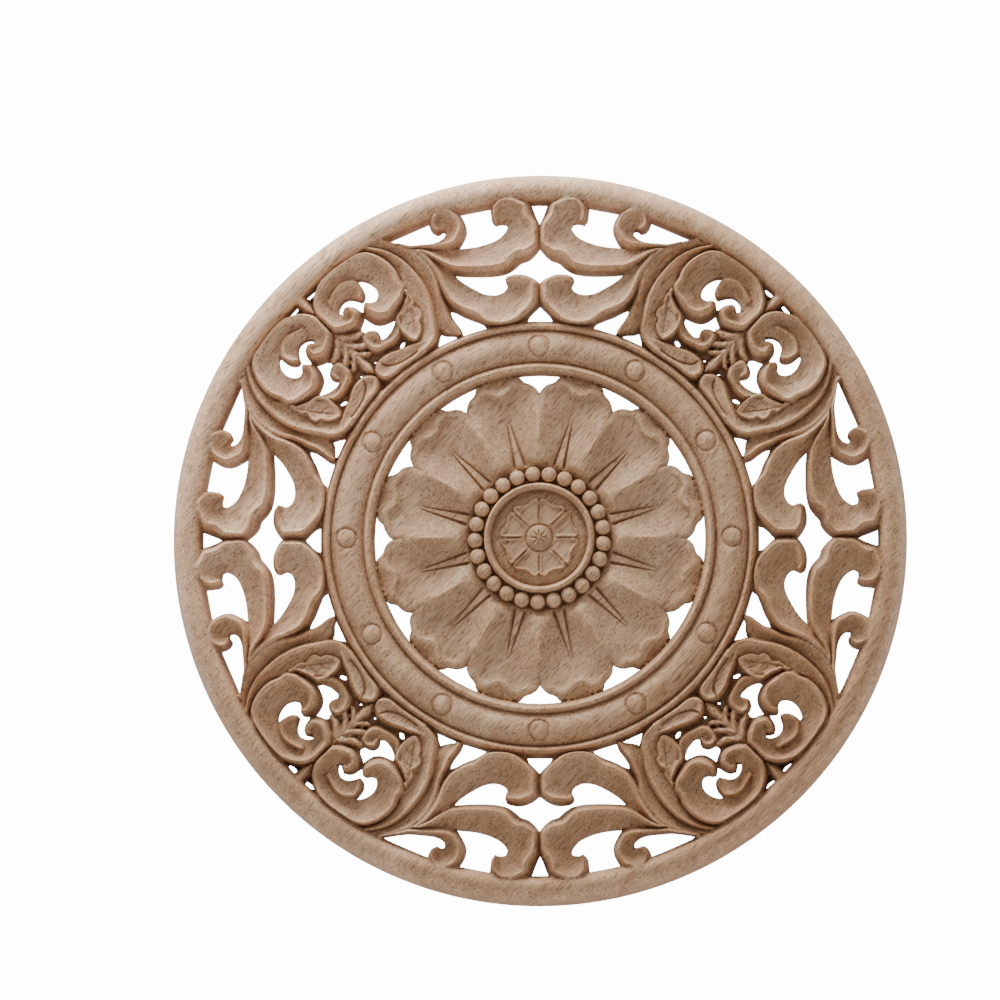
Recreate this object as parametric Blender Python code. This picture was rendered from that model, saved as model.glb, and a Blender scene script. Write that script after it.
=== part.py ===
"""Carved wooden applique: a round openwork panel cut from one board.

One solid. Frame in metres: the flat back lies on y = 0, the carving faces -Y, +Z is up,
and the origin is the centre of the back. The sizes below are in millimetres.
"""
import bpy
import bmesh
import math
import numpy as np
from mathutils import Vector
from mathutils.geometry import delaunay_2d_cdt

MM = 0.001
R_OUT = 150.0          # outside radius of the rim
R_SPLIT = 85.3         # groove between the outer bead and the crowned ring
R_RING_IN = 67.6       # inner edge of the ring
R_FLOWER = 29.6        # foot of the petals, outside the beads
PETALS = 12            # also the number of buttons on the ring
BEADS = 25
BEAD_R, BEAD_AT, BEAD_TURN, BEAD_BASE = 3.1, 26.2, 1.5, 9.7
BUTTON_AT = 78.8       # radius of the circle the buttons stand on
FLOOR = 4.5            # lowest level of the ground between the leaves
WALL_CURVE = 1.7       # how rounded the walls are; 1 is a plain slope
SCOOP_REACH = 4.0      # reach of the scoop in a leaf whose hollow is a single point
STROKE_FOOT = 5.0      # level the strokes rise from
STEEP = 6              # fall per millimetre of a form beyond its own outline
ARC = 9                # facets of the big circles in an eighth of a turn; a multiple of 3

# radius, height above the back: the three turned mouldings
RIM = [(137.6, 4.0), (138.4, 10.5), (139.4, 13.2), (140.8, 14.8), (142.6, 15.4), (144.3, 15.1),
       (145.9, 14.2), (147.3, 12.8), (148.6, 10.7), (149.5, 8.2), (150.0, 5.0)]
RING = [(67.6, 6.0), (68.4, 9.2), (69.2, 11.4), (70.2, 12.2), (71.2, 11.4), (72.1, 9.0),
        (72.6, 9.9), (74.5, 11.8), (76.5, 12.9), (78.7, 13.3), (81.0, 12.9), (83.2, 11.7),
        (84.8, 9.9), (85.3, 8.8), (86.0, 11.2), (87.0, 12.2), (88.0, 11.2), (88.8, 8.6),
        (89.5, 4.5)]
BOSS = [(0.0, 12.6), (2.5, 12.2), (4.7, 11.0), (5.6, 9.6), (6.2, 10.4), (9.0, 10.7), (12.6, 11.8),
        (13.1, 11.4), (14.3, 12.2), (15.6, 11.4), (16.8, 9.2), (18.6, 8.8), (19.5, 8.2),
        (20.3, 12.0), (21.4, 13.4), (22.3, 12.2), (22.9, 6.4), (24.6, 5.0), (28.0, 5.0), (29.6, 7.6)]
BUTTON_R, BUTTON_TOP, BUTTON_DOME = 3.6, 13.9, 0.9
BUTTON_GROOVE, GROOVE_LEVEL = 4.7, 11.9        # the groove round each button
LIP_WAVE = 2.6         # how far the lip near a petal's tip swings outwards beside its middle

# Petal outline from the notch beside it to where it runs under the ring; petal frame,
# x across and y outwards along the petal.
PETAL_EDGE = [(15.5, 57.8), (14.5, 60.1), (13.0, 61.8), (11.2, 62.9), (10.1, 63.8), (9.1, 65.6),
              (7.8, 67.2)]
# radius, height along the petal's middle and along the ridge between two petals
PETAL_MID = [(29.6, 7.6), (38.0, 8.2), (48.0, 6.8), (56.0, 5.4), (58.8, 6.0), (60.6, 8.4), (62.4, 8.8),
             (64.4, 8.0), (67.6, 6.4)]
PETAL_RIDGE = [(29.6, 7.6), (33.0, 11.4), (42.0, 12.6), (52.0, 11.6), (60.0, 8.4), (67.6, 6.4)]

# The band repeats eight times, every second time mirrored. Each leaf is drawn in the frame
# of one eighth: x along the rim from its middle diagonal, y outwards.
# "wall" is the steep convex edge (x, y, width of its slope, height of its foot), "hollow" the
# concave edge (x, y, height there); "top" is the crest behind the wall.
LEAVES = [
    dict(name="scroll", top=15.6,
         wall=[(9.2, 123.2, 1.2, 7), (11.0, 124.2, 1.6, 4), (12.9, 123.2, 2.0, 4),
               (14.3, 120.6, 2.6, 4), (14.5, 117.7, 2.8, 4), (12.0, 115.0, 3.0, 5),
               (8.0, 113.9, 3.0, 6), (3.5, 115.8, 2.8, 8), (0.3, 119.4, 2.0, 10),
               (0.1, 124.5, 1.4, 12), (0.2, 129.2, 1.4, 12), (2.2, 133.5, 1.5, 9),
               (6.0, 136.7, 1.5, 6), (10.5, 138.4, 1.3, 7), (16.0, 138.6, 1.2, 8),
               (23.0, 137.7, 1.2, 8), (29.5, 136.0, 1.2, 9), (33.2, 133.6, 1.3, 10.5),
               (35.7, 129.3, 1.4, 10.5), (36.9, 124.0, 1.5, 10), (36.6, 118.9, 1.6, 9.5),
               (35.2, 115.2, 1.8, 9), (34.5, 111.6, 2.0, 8), (31.9, 109.0, 2.2, 7),
               (27.0, 107.2, 3.0, 6), (21.6, 106.6, 3.3, 4), (17.2, 108.3, 3.8, 4),
               (14.7, 111.0, 4.2, 4), (14.2, 114.6, 3.6, 4), (15.2, 117.7, 2.4, 4),
               (17.4, 119.4, 1.4, 6)],
         hollow=[(8.3, 122.3, 9.6), (7.4, 123.2, 9.6), (7.2, 126.0, 9.8), (8.0, 130.2, 10.6),
                 (11.0, 131.5, 10.6), (15.0, 132.3, 10.4), (19.0, 131.3, 10.0), (22.6, 128.2, 9.6),
                 (24.8, 125.6, 9.6), (25.7, 122.3, 9.6), (25.3, 119.6, 9.6), (23.9, 117.5, 9.6),
                 (21.9, 116.6, 9.6), (20.2, 117.2, 9.6), (18.4, 119.1, 9.6)]),
    dict(name="inner curl", top=13.6,
         wall=[(7.6, 130.2, 0.8, 12), (11.0, 131.6, 1.1, 9.4), (15.0, 132.4, 1.2, 8.5),
               (19.0, 131.4, 1.3, 8), (22.4, 128.0, 1.4, 5), (22.1, 125.0, 1.4, 4),
               (21.0, 122.4, 1.4, 4), (18.7, 120.8, 1.2, 5)],
         hollow=[(7.3, 123.4, 10.4), (9.0, 125.2, 9.6), (12.0, 126.2, 9.4), (14.9, 125.1, 9.4),
                 (16.7, 122.8, 9.4), (17.6, 121.1, 9.4)]),
    dict(name="outer curl", top=14.6,
         wall=[(40.2, 132.2, 0.8, 13), (43.4, 127.0, 0.9, 13), (47.0, 121.3, 1.0, 12.6),
               (50.8, 117.3, 1.4, 11.5), (54.2, 113.4, 2.0, 9.5), (57.6, 109.9, 2.6, 7.5),
               (61.5, 108.4, 2.7, 5), (65.5, 109.2, 2.8, 4), (69.0, 111.2, 2.6, 4),
               (71.0, 114.8, 2.4, 4), (71.4, 119.0, 2.2, 7), (69.4, 123.1, 2.0, 9),
               (66.0, 125.4, 1.8, 10), (62.0, 125.3, 1.8, 9), (59.2, 123.2, 1.6, 4),
               (58.5, 120.3, 1.4, 4), (59.4, 118.4, 1.2, 6)],
         hollow=[(40.9, 131.8, 12.6), (43.6, 127.9, 11.4), (47.0, 123.7, 10.4), (51.6, 119.6, 9.6),
                 (56.0, 116.3, 9.4), (60.4, 115.4, 9.4), (62.2, 116.6, 9.4), (60.9, 118.1, 9.4)]),
    dict(name="upper leaf", top=15.0,
         wall=[(47.6, 119.6, 0.8, 13.4), (49.7, 114.6, 1.0, 13.0), (50.6, 109.6, 1.3, 10.5),
               (52.0, 103.2, 2.2, 4), (54.9, 98.7, 2.8, 4), (59.4, 93.9, 3.0, 4),
               (64.4, 89.4, 3.2, 4), (69.3, 86.7, 3.4, 4), (74.8, 86.0, 3.0, 4),
               (78.4, 84.6, 3.2, 4), (84.9, 84.5, 2.6, 5), (88.3, 87.7, 2.4, 7),
               (91.7, 91.4, 2.4, 5), (93.4, 96.0, 2.4, 4), (95.3, 100.4, 2.0, 6),
               (94.0, 104.2, 1.9, 9), (91.4, 108.2, 1.9, 10), (87.4, 110.5, 1.9, 10),
               (82.8, 110.5, 1.8, 8), (79.6, 107.9, 1.7, 4), (78.4, 105.0, 1.4, 5)],
         hollow=[(49.6, 118.4, 13.2), (52.0, 115.6, 12.2), (54.2, 113.6, 11.0), (58.0, 109.8, 9.6),
                 (61.2, 107.5, 9.2), (66.4, 103.2, 9.2), (71.6, 100.3, 9.2), (76.5, 98.8, 9.2),
                 (80.6, 99.4, 9.2), (82.0, 101.2, 9.2), (80.6, 103.3, 9.2), (78.9, 104.0, 9.2)]),
    dict(name="lower leaf", top=14.8,
         wall=[(45.6, 124.4, 0.8, 13.8), (47.4, 119.0, 0.9, 13.9), (47.8, 112.5, 1.0, 13.8),
               (46.8, 106.6, 1.2, 13.4), (44.4, 101.6, 1.4, 12.2), (42.8, 98.4, 1.8, 9),
               (41.5, 94.0, 2.3, 4),
               (42.4, 88.4, 2.6, 4), (44.6, 83.0, 2.8, 4), (46.4, 77.6, 2.6, 5),
               (50.4, 73.1, 2.6, 7), (55.2, 69.6, 2.5, 7), (60.0, 68.0, 2.5, 5),
               (67.9, 67.9, 2.6, 4), (71.4, 71.1, 2.4, 8), (74.6, 74.8, 2.3, 5),
               (73.8, 79.1, 2.3, 4), (71.0, 83.3, 2.2, 4), (67.0, 85.9, 1.8, 4),
               (65.4, 85.6, 1.3, 6)],
         hollow=[(47.6, 119.6, 13.6), (49.8, 114.6, 13.0), (50.6, 109.8, 11.0), (51.8, 103.6, 9.4),
                 (52.2, 97.6, 9.2), (53.4, 92.1, 9.2), (55.6, 86.2, 9.2), (59.6, 82.5, 9.2),
                 (63.4, 82.1, 9.2), (64.7, 84.2, 9.2)]),
    dict(name="pointed leaf", top=13.4,
         wall=[(41.6, 131.4, 0.8, 12.6), (45.4, 125.0, 1.0, 12.8), (47.3, 119.0, 1.0, 13.2),
               (47.6, 112.5, 1.0, 13.2), (46.4, 106.6, 1.1, 12.8), (44.0, 101.6, 1.3, 11.8),
               (42.4, 98.4, 1.6, 8.6), (41.2, 94.0, 1.8, 4), (39.3, 89.4, 1.6, 4), (38.5, 84.8, 1.4, 4),
               (37.3, 81.4, 1.2, 5)],
         hollow=[(36.2, 133.9, 12.2), (40.2, 127.2, 11.0), (42.0, 120.0, 10.2), (41.9, 112.6, 9.8),
                 (40.4, 104.8, 9.4), (37.2, 97.6, 9.2), (32.4, 90.8, 8.8), (33.0, 86.8, 9.2),
                 (35.6, 82.2, 9.4)]),
    dict(name="stem", top=14.0,
         wall=[(35.6, 134.2, 0.9, 12.2), (39.3, 128.6, 1.0, 11.0), (41.6, 121.6, 1.1, 10.0),
               (41.9, 114.0, 1.3, 9.6), (40.9, 106.6, 1.5, 9.4), (38.3, 99.5, 1.8, 9.0),
               (34.8, 94.0, 2.0, 8), (31.8, 89.4, 2.0, 5), (28.4, 87.0, 1.8, 4),
               (23.6, 86.2, 1.6, 6), (19.0, 87.0, 1.4, 8)],
         hollow=[(33.4, 134.0, 12.6), (35.9, 129.2, 11.8), (37.0, 123.6, 11.2), (36.6, 118.6, 10.8),
                 (35.0, 114.2, 10.6), (34.2, 109.2, 10.8), (33.0, 104.0, 11.2), (30.2, 98.6, 11.2),
                 (26.4, 95.0, 11.2), (21.0, 92.4, 11.0), (16.6, 91.2, 10.8)]),
    dict(name="stem end", top=13.0,
         wall=[(24.0, 91.2, 0.9, 12), (19.8, 93.4, 1.2, 9), (15.2, 95.6, 1.6, 5),
               (11.4, 97.6, 1.8, 6), (7.0, 98.6, 1.8, 6), (3.2, 98.1, 1.8, 6),
               (0.5, 95.6, 1.5, 7), (0.2, 92.6, 1.5, 7), (2.6, 89.9, 1.5, 7),
               (11.0, 88.5, 1.5, 8), (21.0, 86.3, 1.2, 9)],
         hollow=[(26.0, 89.0, 10.8)]),
    dict(name="notched leaf", top=13.8,
         wall=[(34.3, 110.6, 0.9, 11.5), (33.6, 107.4, 0.9, 11.6), (32.9, 104.6, 0.8, 11.6),
               (31.2, 103.6, 0.7, 12.0), (31.9, 100.8, 0.8, 11.6), (30.9, 98.0, 0.8, 11.6),
               (28.8, 97.4, 0.7, 12.0), (27.6, 95.0, 0.8, 11.6), (24.8, 93.2, 0.8, 11.4),
               (21.6, 92.6, 0.9, 11.0), (19.8, 95.0, 1.2, 6), (19.4, 98.4, 1.3, 6),
               (20.2, 102.0, 1.1, 9.5), (22.4, 105.8, 1.2, 9), (26.8, 107.2, 1.4, 8),
               (31.6, 109.2, 1.3, 9)],
         hollow=[(33.6, 110.8, 11.6)]),
    dict(name="small curl", top=13.0,
         wall=[(24.4, 104.6, 1.2, 10), (21.8, 101.6, 1.4, 9), (20.0, 99.4, 1.5, 6),
               (18.4, 98.3, 1.9, 5), (15.2, 97.9, 2.0, 5), (11.0, 98.9, 2.1, 5),
               (7.4, 100.4, 2.1, 6), (5.6, 103.4, 1.9, 8), (5.5, 107.0, 1.7, 8),
               (6.9, 110.0, 1.6, 8), (9.8, 110.8, 1.4, 4), (12.3, 109.6, 1.4, 4),
               (13.6, 107.4, 1.3, 4), (12.9, 105.4, 1.1, 6)],
         hollow=[(22.8, 106.0, 10.0), (20.6, 104.4, 9.4), (17.0, 103.2, 9.2), (13.8, 103.0, 9.2),
                 (12.1, 104.2, 9.2)]),
]
# fingers and spear of the palmette and the spur, as strokes: (x, y, half width), crest height
STROKES = [
    dict(top=10.8, line=[(0.0, 118.0, 2.4), (0.0, 111.0, 2.6), (0.0, 105.5, 1.6)]),
    dict(top=12.4, line=[(0.2, 117.2, 1.8), (2.8, 114.2, 2.0), (5.4, 112.0, 2.1), (8.2, 111.3, 1.4)]),
    dict(top=12.2, line=[(0.2, 112.6, 1.6), (1.8, 110.2, 1.7), (3.4, 108.4, 1.8), (5.3, 106.8, 1.7)]),
    dict(top=12.0, line=[(0.0, 107.8, 1.3), (1.6, 105.6, 1.5), (3.4, 103.8, 1.5), (4.9, 103.0, 1.1)]),
    dict(top=12.0, line=[(0.0, 104.8, 0.8), (0.0, 102.8, 1.7), (0.0, 100.6, 2.4), (0.0, 98.2, 1.8),
                         (0.0, 96.4, 0.6)]),
    dict(top=12.8, line=[(0.0, 142.6, 3.0), (0.0, 139.4, 2.7), (0.0, 136.6, 2.1), (0.0, 133.6, 1.4),
                         (0.0, 131.0, 0.8)]),
]
# Openings cut right through, one eighth of the band; those ending on the axis of symmetry
# (x = y) join their mirror image there.
OPENINGS = {
    "by the rim": [(2.6, 137.2), (4.9, 136.8), (7.2, 137.4), (7.0, 138.2), (2.8, 138.5)],
    "in the scroll": [(7.3, 123.3), (8.5, 124.9), (10.1, 125.8), (12.0, 126.2), (14.0, 125.7),
                      (15.7, 124.2), (16.8, 122.3), (17.6, 120.9), (18.8, 120.8), (20.4, 121.7),
                      (21.7, 123.8), (22.1, 126.0), (22.2, 128.0), (23.0, 128.0), (24.6, 126.0),
                      (25.6, 123.0), (25.5, 120.2), (24.2, 117.8), (22.2, 116.6), (20.3, 117.2),
                      (18.8, 119.0), (17.4, 119.5), (16.2, 118.6), (15.1, 117.6), (14.6, 118.6),
                      (14.1, 121.2), (12.9, 123.1), (11.0, 124.2), (9.4, 123.3), (8.2, 122.3)],
    "under the scroll": [(8.9, 112.4), (9.8, 113.6), (12.0, 114.6), (13.8, 115.6), (14.1, 113.4),
                         (14.9, 110.8), (16.6, 108.7), (19.0, 107.4), (21.8, 106.4),
                         (21.3, 105.1), (18.6, 103.6), (15.6, 103.0), (13.0, 103.2),
                         (12.0, 104.2), (13.2, 105.7), (13.6, 107.4), (12.9, 109.1),
                         (11.2, 110.3), (9.5, 110.8)],
    "pin hole": [(3.4, 99.3), (4.0, 100.1), (4.7, 99.5), (4.1, 98.7)],
    "slot": [(15.2, 96.4), (16.3, 97.4), (18.0, 97.6), (18.6, 96.9), (17.6, 96.0), (16.1, 95.7)],
    "along the rim": [(40.8, 131.8), (59.7, 124.4), (58.6, 122.0), (58.5, 120.0), (59.5, 118.3),
                      (61.4, 117.9), (62.2, 116.8), (60.9, 115.5), (58.4, 115.4), (55.6, 116.5),
                      (51.6, 119.6), (47.2, 123.4), (43.6, 127.9)],
    "over the leaf": [(71.6, 118.0), (82.1, 110.9), (80.4, 108.8), (78.8, 106.6), (78.6, 104.4),
                      (80.6, 103.3), (82.0, 101.6), (81.4, 99.8), (79.4, 99.0), (76.0, 98.9),
                      (71.6, 100.3), (66.4, 103.2), (60.4, 108.0), (64.8, 109.1),
                      (68.2, 110.6), (70.3, 113.3), (71.2, 116.0)],
    "between the leaves": [(84.7, 84.7), (81.0, 84.3), (77.8, 84.7), (75.2, 86.0), (72.0, 86.2),
                           (68.4, 87.0), (64.6, 89.3), (60.8, 92.6), (56.4, 97.1), (52.1, 102.0),
                           (52.2, 97.6), (53.4, 92.1), (55.4, 86.6), (58.6, 83.0), (61.8, 81.9),
                           (64.0, 82.5), (65.2, 85.2), (67.0, 85.9), (70.2, 84.2), (72.7, 81.4),
                           (74.0, 78.2), (74.5, 74.5)],
    "by the twin leaf": [(97.6, 97.6), (95.1, 100.0), (94.2, 97.8), (92.6, 94.2), (91.7, 91.7)],
    "by the ring": [(63.4, 63.4), (59.8, 67.0), (61.6, 67.8), (67.9, 67.9)],
    "beside the lower leaf": [(40.8, 92.4), (41.8, 90.4), (43.0, 86.6), (44.9, 82.3), (46.2, 79.0),
                              (46.0, 76.8), (37.3, 81.4), (38.4, 83.8), (38.9, 87.3),
                              (39.7, 90.7)],
    "beside the stem": [(26.6, 85.6), (28.6, 87.1), (31.2, 88.5), (32.2, 86.6), (34.6, 84.0),
                        (35.4, 82.4)],
}
EDGE_TOL = 0.26        # how far a facet may stray from an opening's curve,
CREST_TOL = 0.70       # from a crest line
FOOT_TOL = 1.0         # and from the foot of a wall
FINE = 0.35            # step of the curves before they are thinned
NET = 11.0             # spacing of the loose points in the scoops
NET_CLEAR = 1.9        # and their least distance to a drawn line
AXIS_CLEAR = 0.7       # drawn lines stop this far from the two axes of symmetry
OPENING_CLEAR = 1.3    # a wall nearer than this to an opening is part of its edge
LEAST_CREST, LEAST_FOOT = 1.4, 4.2             # shortest lines worth a facet of their own
# circles of points along the mouldings
BEAD_CIRCLES, RIM_CIRCLES, RIM_FOOT = (87.0, 88.8), (148.6, 145.9, 142.6), 139.6
RING_CIRCLES = (83.2, 78.8, 74.2, 72.1, 70.2, 68.4)
# circles round the centre with the number of facets of each
BOSS_CIRCLES = ((23.0, 50), (21.4, 36), (19.5, 30), (16.8, 24), (14.3, 24), (5.6, 12), (4.7, 12))
BEAD_LOOPS = ((0.96, 7), (0.55, 5))            # part of the bead's radius, number of facets


def clean():
    for ob in list(bpy.data.objects):
        bpy.data.objects.remove(ob, do_unlink=True)


def spline(points, step):
    """Centripetal Catmull-Rom curve through the points, cut at about the given step."""
    p = np.array(points, float)
    if len(p) < 2:
        return p
    if len(p) == 2:
        n = max(1, int(math.ceil(np.hypot(*(p[1, :2] - p[0, :2])) / step)))
        return p[0] + (p[1] - p[0]) * np.linspace(0, 1, n + 1)[:, None]
    ext = np.vstack([2 * p[0] - p[1], p, 2 * p[-1] - p[-2]])
    out = []
    for i in range(1, len(ext) - 2):
        a, b, c, d = ext[i - 1:i + 3]
        t = [0.0]
        for q, r in ((a, b), (b, c), (c, d)):
            t.append(t[-1] + max(np.hypot(*(r[:2] - q[:2])), 1e-6) ** 0.5)
        n = max(1, int(math.ceil(np.hypot(*(c[:2] - b[:2])) / step)))
        for s in np.linspace(t[1], t[2], n + 1)[:-1]:
            ab = a + (b - a) * (s - t[0]) / (t[1] - t[0])
            bc = b + (c - b) * (s - t[1]) / (t[2] - t[1])
            cd = c + (d - c) * (s - t[2]) / (t[3] - t[2])
            abc = ab + (bc - ab) * (s - t[0]) / (t[2] - t[0])
            bcd = bc + (cd - bc) * (s - t[1]) / (t[3] - t[1])
            out.append(abc + (bcd - abc) * (s - t[1]) / (t[2] - t[1]))
    out.append(p[-1])
    return np.array(out)


def smooth_loop(points, step):
    """Closed curve through the points; corners sharper than 55 degrees stay corners."""
    p = np.array(points, float)
    n = len(p)
    back, on = p - np.roll(p, 1, 0), np.roll(p, -1, 0) - p
    cos = (back * on).sum(1) / (np.hypot(*back.T) * np.hypot(*on.T))
    corners = [i for i in range(n) if cos[i] < math.cos(math.radians(55))]
    if not corners:
        return spline(np.vstack([p, p[:1]]), step)[:-1]
    out = []
    for k, c in enumerate(corners):
        stop = corners[(k + 1) % len(corners)]
        count = (stop - c) % n or n
        out.append(spline(p[[(c + i) % n for i in range(count + 1)]], step)[:-1])
    return np.vstack(out)


def simplify(line, tol):
    """Fewest points of an open polyline that stay within the tolerance."""
    a, b = line[0], line[-1]
    if len(line) < 3:
        return line
    d = nearest(line[1:-1, :2], np.array([a[:2], b[:2] + 1e-9]))[0]
    k = int(d.argmax())
    if d[k] < tol:
        return np.array([a, b])
    return np.vstack([simplify(line[:k + 2], tol)[:-1], simplify(line[k + 1:], tol)])


def nearest(pts, line):
    """Distance from each point to a polyline, and the line's extra columns there."""
    a, b = line[:-1], line[1:]
    ab = (b - a)[:, :2]
    den = np.maximum((ab ** 2).sum(1), 1e-12)
    t = ((pts[:, None, :] - a[None, :, :2]) * ab[None]).sum(2) / den
    t = np.clip(t, 0, 1)
    foot = a[None, :, :2] + t[..., None] * ab[None]
    d = np.hypot(*(pts[:, None, :] - foot).transpose(2, 0, 1))
    k = d.argmin(1)
    i = np.arange(len(pts))
    return d[i, k], a[k, 2:] + t[i, k][:, None] * (b - a)[k, 2:]


def inside(pts, poly):
    """Even-odd test of points against a closed polygon."""
    x, y = pts[:, 0][:, None], pts[:, 1][:, None]
    x0, y0 = poly[:, 0][None], poly[:, 1][None]
    x1, y1 = np.roll(poly[:, 0], -1)[None], np.roll(poly[:, 1], -1)[None]
    dy = np.where(y1 == y0, 1e-12, y1 - y0)
    hit = ((y0 > y) != (y1 > y)) & (x < x0 + (y - y0) * (x1 - x0) / dy)
    return hit.sum(1) % 2 == 1


def smooth(a, b, x):
    t = np.clip((x - a) / (b - a), 0, 1)
    return t * t * (3 - 2 * t)


def leaf_height(pts, leaf):
    """Steep rounded wall up to the crest, then a scoop down to the hollow edge."""
    wall, hollow = leaf["wall_line"], leaf["hollow_line"]
    dw, wb = nearest(pts, wall)
    width, foot = wb[:, 0], wb[:, 1]
    top = leaf["top"]
    if len(hollow) > 1:
        dh, low = nearest(pts, hollow)
        low = low[:, 0]
    else:
        dh, low = np.full(len(pts), SCOOP_REACH), hollow[0, 2]
    t = np.clip(dw / width, 0, 1)
    ramp = foot + (top - foot) * (1 - (1 - t) ** WALL_CURVE)
    s = np.clip((dw - width) / (np.maximum(dw - width, 0) + dh + 1e-6), 0, 1)
    scoop = top - (top - low) * (1 - (1 - s) ** 2)
    within = np.where(dw < width, ramp, scoop)
    beyond = np.where(dw <= dh, foot - STEEP * dw, low - STEEP * dh)
    return np.where(inside(pts, leaf["outline"]), within, beyond)


def band_height(pts):
    """Height of the openwork band with the rim and the outer bead, eighth frame."""
    x, y = np.abs(pts[:, 0]), pts[:, 1]
    p = np.stack([x, y], 1)
    r = np.hypot(x, y)
    h = np.full(len(p), FLOOR)
    for leaf in LEAVES:
        h = np.maximum(h, leaf_height(p, leaf))
    for s in STROKES:
        d, w = nearest(p, s["curve"])
        round_top = np.sqrt(np.maximum(1 - (d / w[:, 0]) ** 2, 0))
        h = np.maximum(h, np.where(d < w[:, 0], STROKE_FOOT + (s["top"] - STROKE_FOOT) * round_top, 0))
    rr, hh = np.array(RIM).T
    h = np.maximum(h, np.where(r > rr[0], np.interp(r, rr, hh), hh[0] - STEEP * (rr[0] - r)))
    rr, hh = np.array(RING).T
    h = np.maximum(h, np.where(r < rr[-1], np.interp(r, rr, hh), hh[-1] - STEEP * (r - rr[-1])))
    return np.where(r < R_SPLIT + 0.02, np.interp(r, rr, hh), h)


def ring_height(pts):
    """Ring, buttons and petals; pts in the frame of a button, y outwards through it."""
    r = np.hypot(pts[:, 0], pts[:, 1])
    turn = np.abs(np.arctan2(pts[:, 0], pts[:, 1]))
    half = math.pi / PETALS
    rr, hh = np.array(RING).T
    ring = np.interp(r, rr, hh, left=0)
    d = np.hypot(pts[:, 0], pts[:, 1] - BUTTON_AT)
    ring = np.where(d < BUTTON_GROOVE, np.minimum(ring, GROOVE_LEVEL), ring)
    ring = np.where(d < BUTTON_R, BUTTON_TOP - BUTTON_DOME * (d / BUTTON_R) ** 2, ring)
    away = np.clip(1 - turn / half, 0, 1)          # 0 on the petal's middle, 1 on its side lines
    x = r * np.sin(half - turn)
    wave = LIP_WAVE * (smooth(1.0, 6.0, x) - 0.7 * smooth(7.5, 12.0, x)) * smooth(50, 57, r)
    mid = np.interp(r - wave, *np.array(PETAL_MID).T)
    ridge = np.interp(r, *np.array(PETAL_RIDGE).T)
    rise = 0.5 - 0.5 * np.cos(math.pi * away)
    petal = mid + (ridge - mid) * (rise + (away ** 1.6 - rise) * smooth(46, 58, r))
    return np.where(r >= R_RING_IN, ring, petal)


def centre_height(pts):
    """Beads round the boss."""
    r = np.hypot(pts[:, 0], pts[:, 1])
    h = np.interp(r, *np.array(BOSS).T)
    for cx, cy in bead_centres():
        d = np.hypot(pts[:, 0] - cx, pts[:, 1] - cy)
        ball = BEAD_BASE + np.sqrt(np.maximum(BEAD_R ** 2 - d ** 2, 0))
        h = np.maximum(h, np.where(d < BEAD_R, ball, 0))
    return h


def bead_centres():
    turns = [math.radians(180 + BEAD_TURN + 360 / BEADS * k) for k in range(BEADS)]
    return [(BEAD_AT * math.sin(t), BEAD_AT * math.cos(t)) for t in turns]


def nooks(steps):
    """Points on the ground between neighbouring beads, at steps in and out from their circle."""
    turns = [math.radians(180 + BEAD_TURN + 360 / BEADS * (k + 0.5)) for k in range(BEADS)]
    return [((BEAD_AT + s) * math.sin(t), (BEAD_AT + s) * math.cos(t)) for t in turns for s in steps]


class Plan:
    """Points and fixed lines of a flat region, triangulated and then raised."""

    def __init__(self):
        self.pts, self.edges = [], []

    def add(self, line, closed=False, join=True):
        base = len(self.pts)
        self.pts += [(float(q[0]), float(q[1])) for q in line]
        if join:
            self.edges += [(base + i, base + i + 1) for i in range(len(line) - 1)]
            if closed:
                self.edges.append((base + len(line) - 1, base))

    def triangles(self, keep):
        """Vertices and triangles whose centres pass the keep test."""
        res = delaunay_2d_cdt([Vector(p) for p in self.pts], self.edges, [], 0, 1e-4)
        v = np.array([tuple(p) for p in res[0]])
        f = np.array([t for t in res[2] if len(t) == 3])
        a, b, c = v[f].transpose(1, 0, 2)
        area = np.abs((b - a)[:, 0] * (c - a)[:, 1] - (b - a)[:, 1] * (c - a)[:, 0]) / 2
        return v, f[keep(v[f].mean(1)) & (area > 1e-4)]


def arc(r, a0, a1, n):
    """Points on a circle; angles in degrees clockwise from +y."""
    t = np.radians(np.linspace(a0, a1, n + 1))
    return np.stack([r * np.sin(t), r * np.cos(t)], 1)


def prepare():
    """Dense curves of the leaves for the height function."""
    for leaf in LEAVES:
        leaf["wall_line"] = spline(leaf["wall"], 2 * FINE)
        leaf["hollow_line"] = spline(leaf["hollow"], 2 * FINE)
        leaf["outline"] = np.vstack([leaf["wall_line"][:, :2], leaf["hollow_line"][::-1, :2]])
    for s in STROKES:
        s["curve"] = spline(s["line"], 2 * FINE)


def stretches(points, wanted, least, tol):
    """The unbroken wanted stretches of a line, each with as few points as its tolerance allows."""
    marks = np.flatnonzero(np.diff(np.concatenate([[0], wanted.astype(int), [0]])))
    return [simplify(points[a:b], tol) for a, b in zip(marks[::2], marks[1::2])
            if (b - a) * FINE > least]


def crest(leaf):
    """The crest line: the wall's edge moved in by the width of its slope."""
    w = spline(leaf["wall"], FINE)
    d = np.gradient(w[:, :2], axis=0)
    n = np.stack([-d[:, 1], d[:, 0]], 1) / np.hypot(*d.T)[:, None]
    if inside(w[:, :2] + n * FINE, leaf["outline"]).mean() < 0.5:
        n = -n
    c = w[:, :2] + n * w[:, 2:3]
    # leave out what has crossed over another part of the wall in a tight bend
    clear = nearest(c, w[:, :2].copy())[0] > 0.97 * w[:, 2]
    return stretches(c, clear & inside(c, leaf["outline"]), LEAST_CREST, CREST_TOL)


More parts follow.
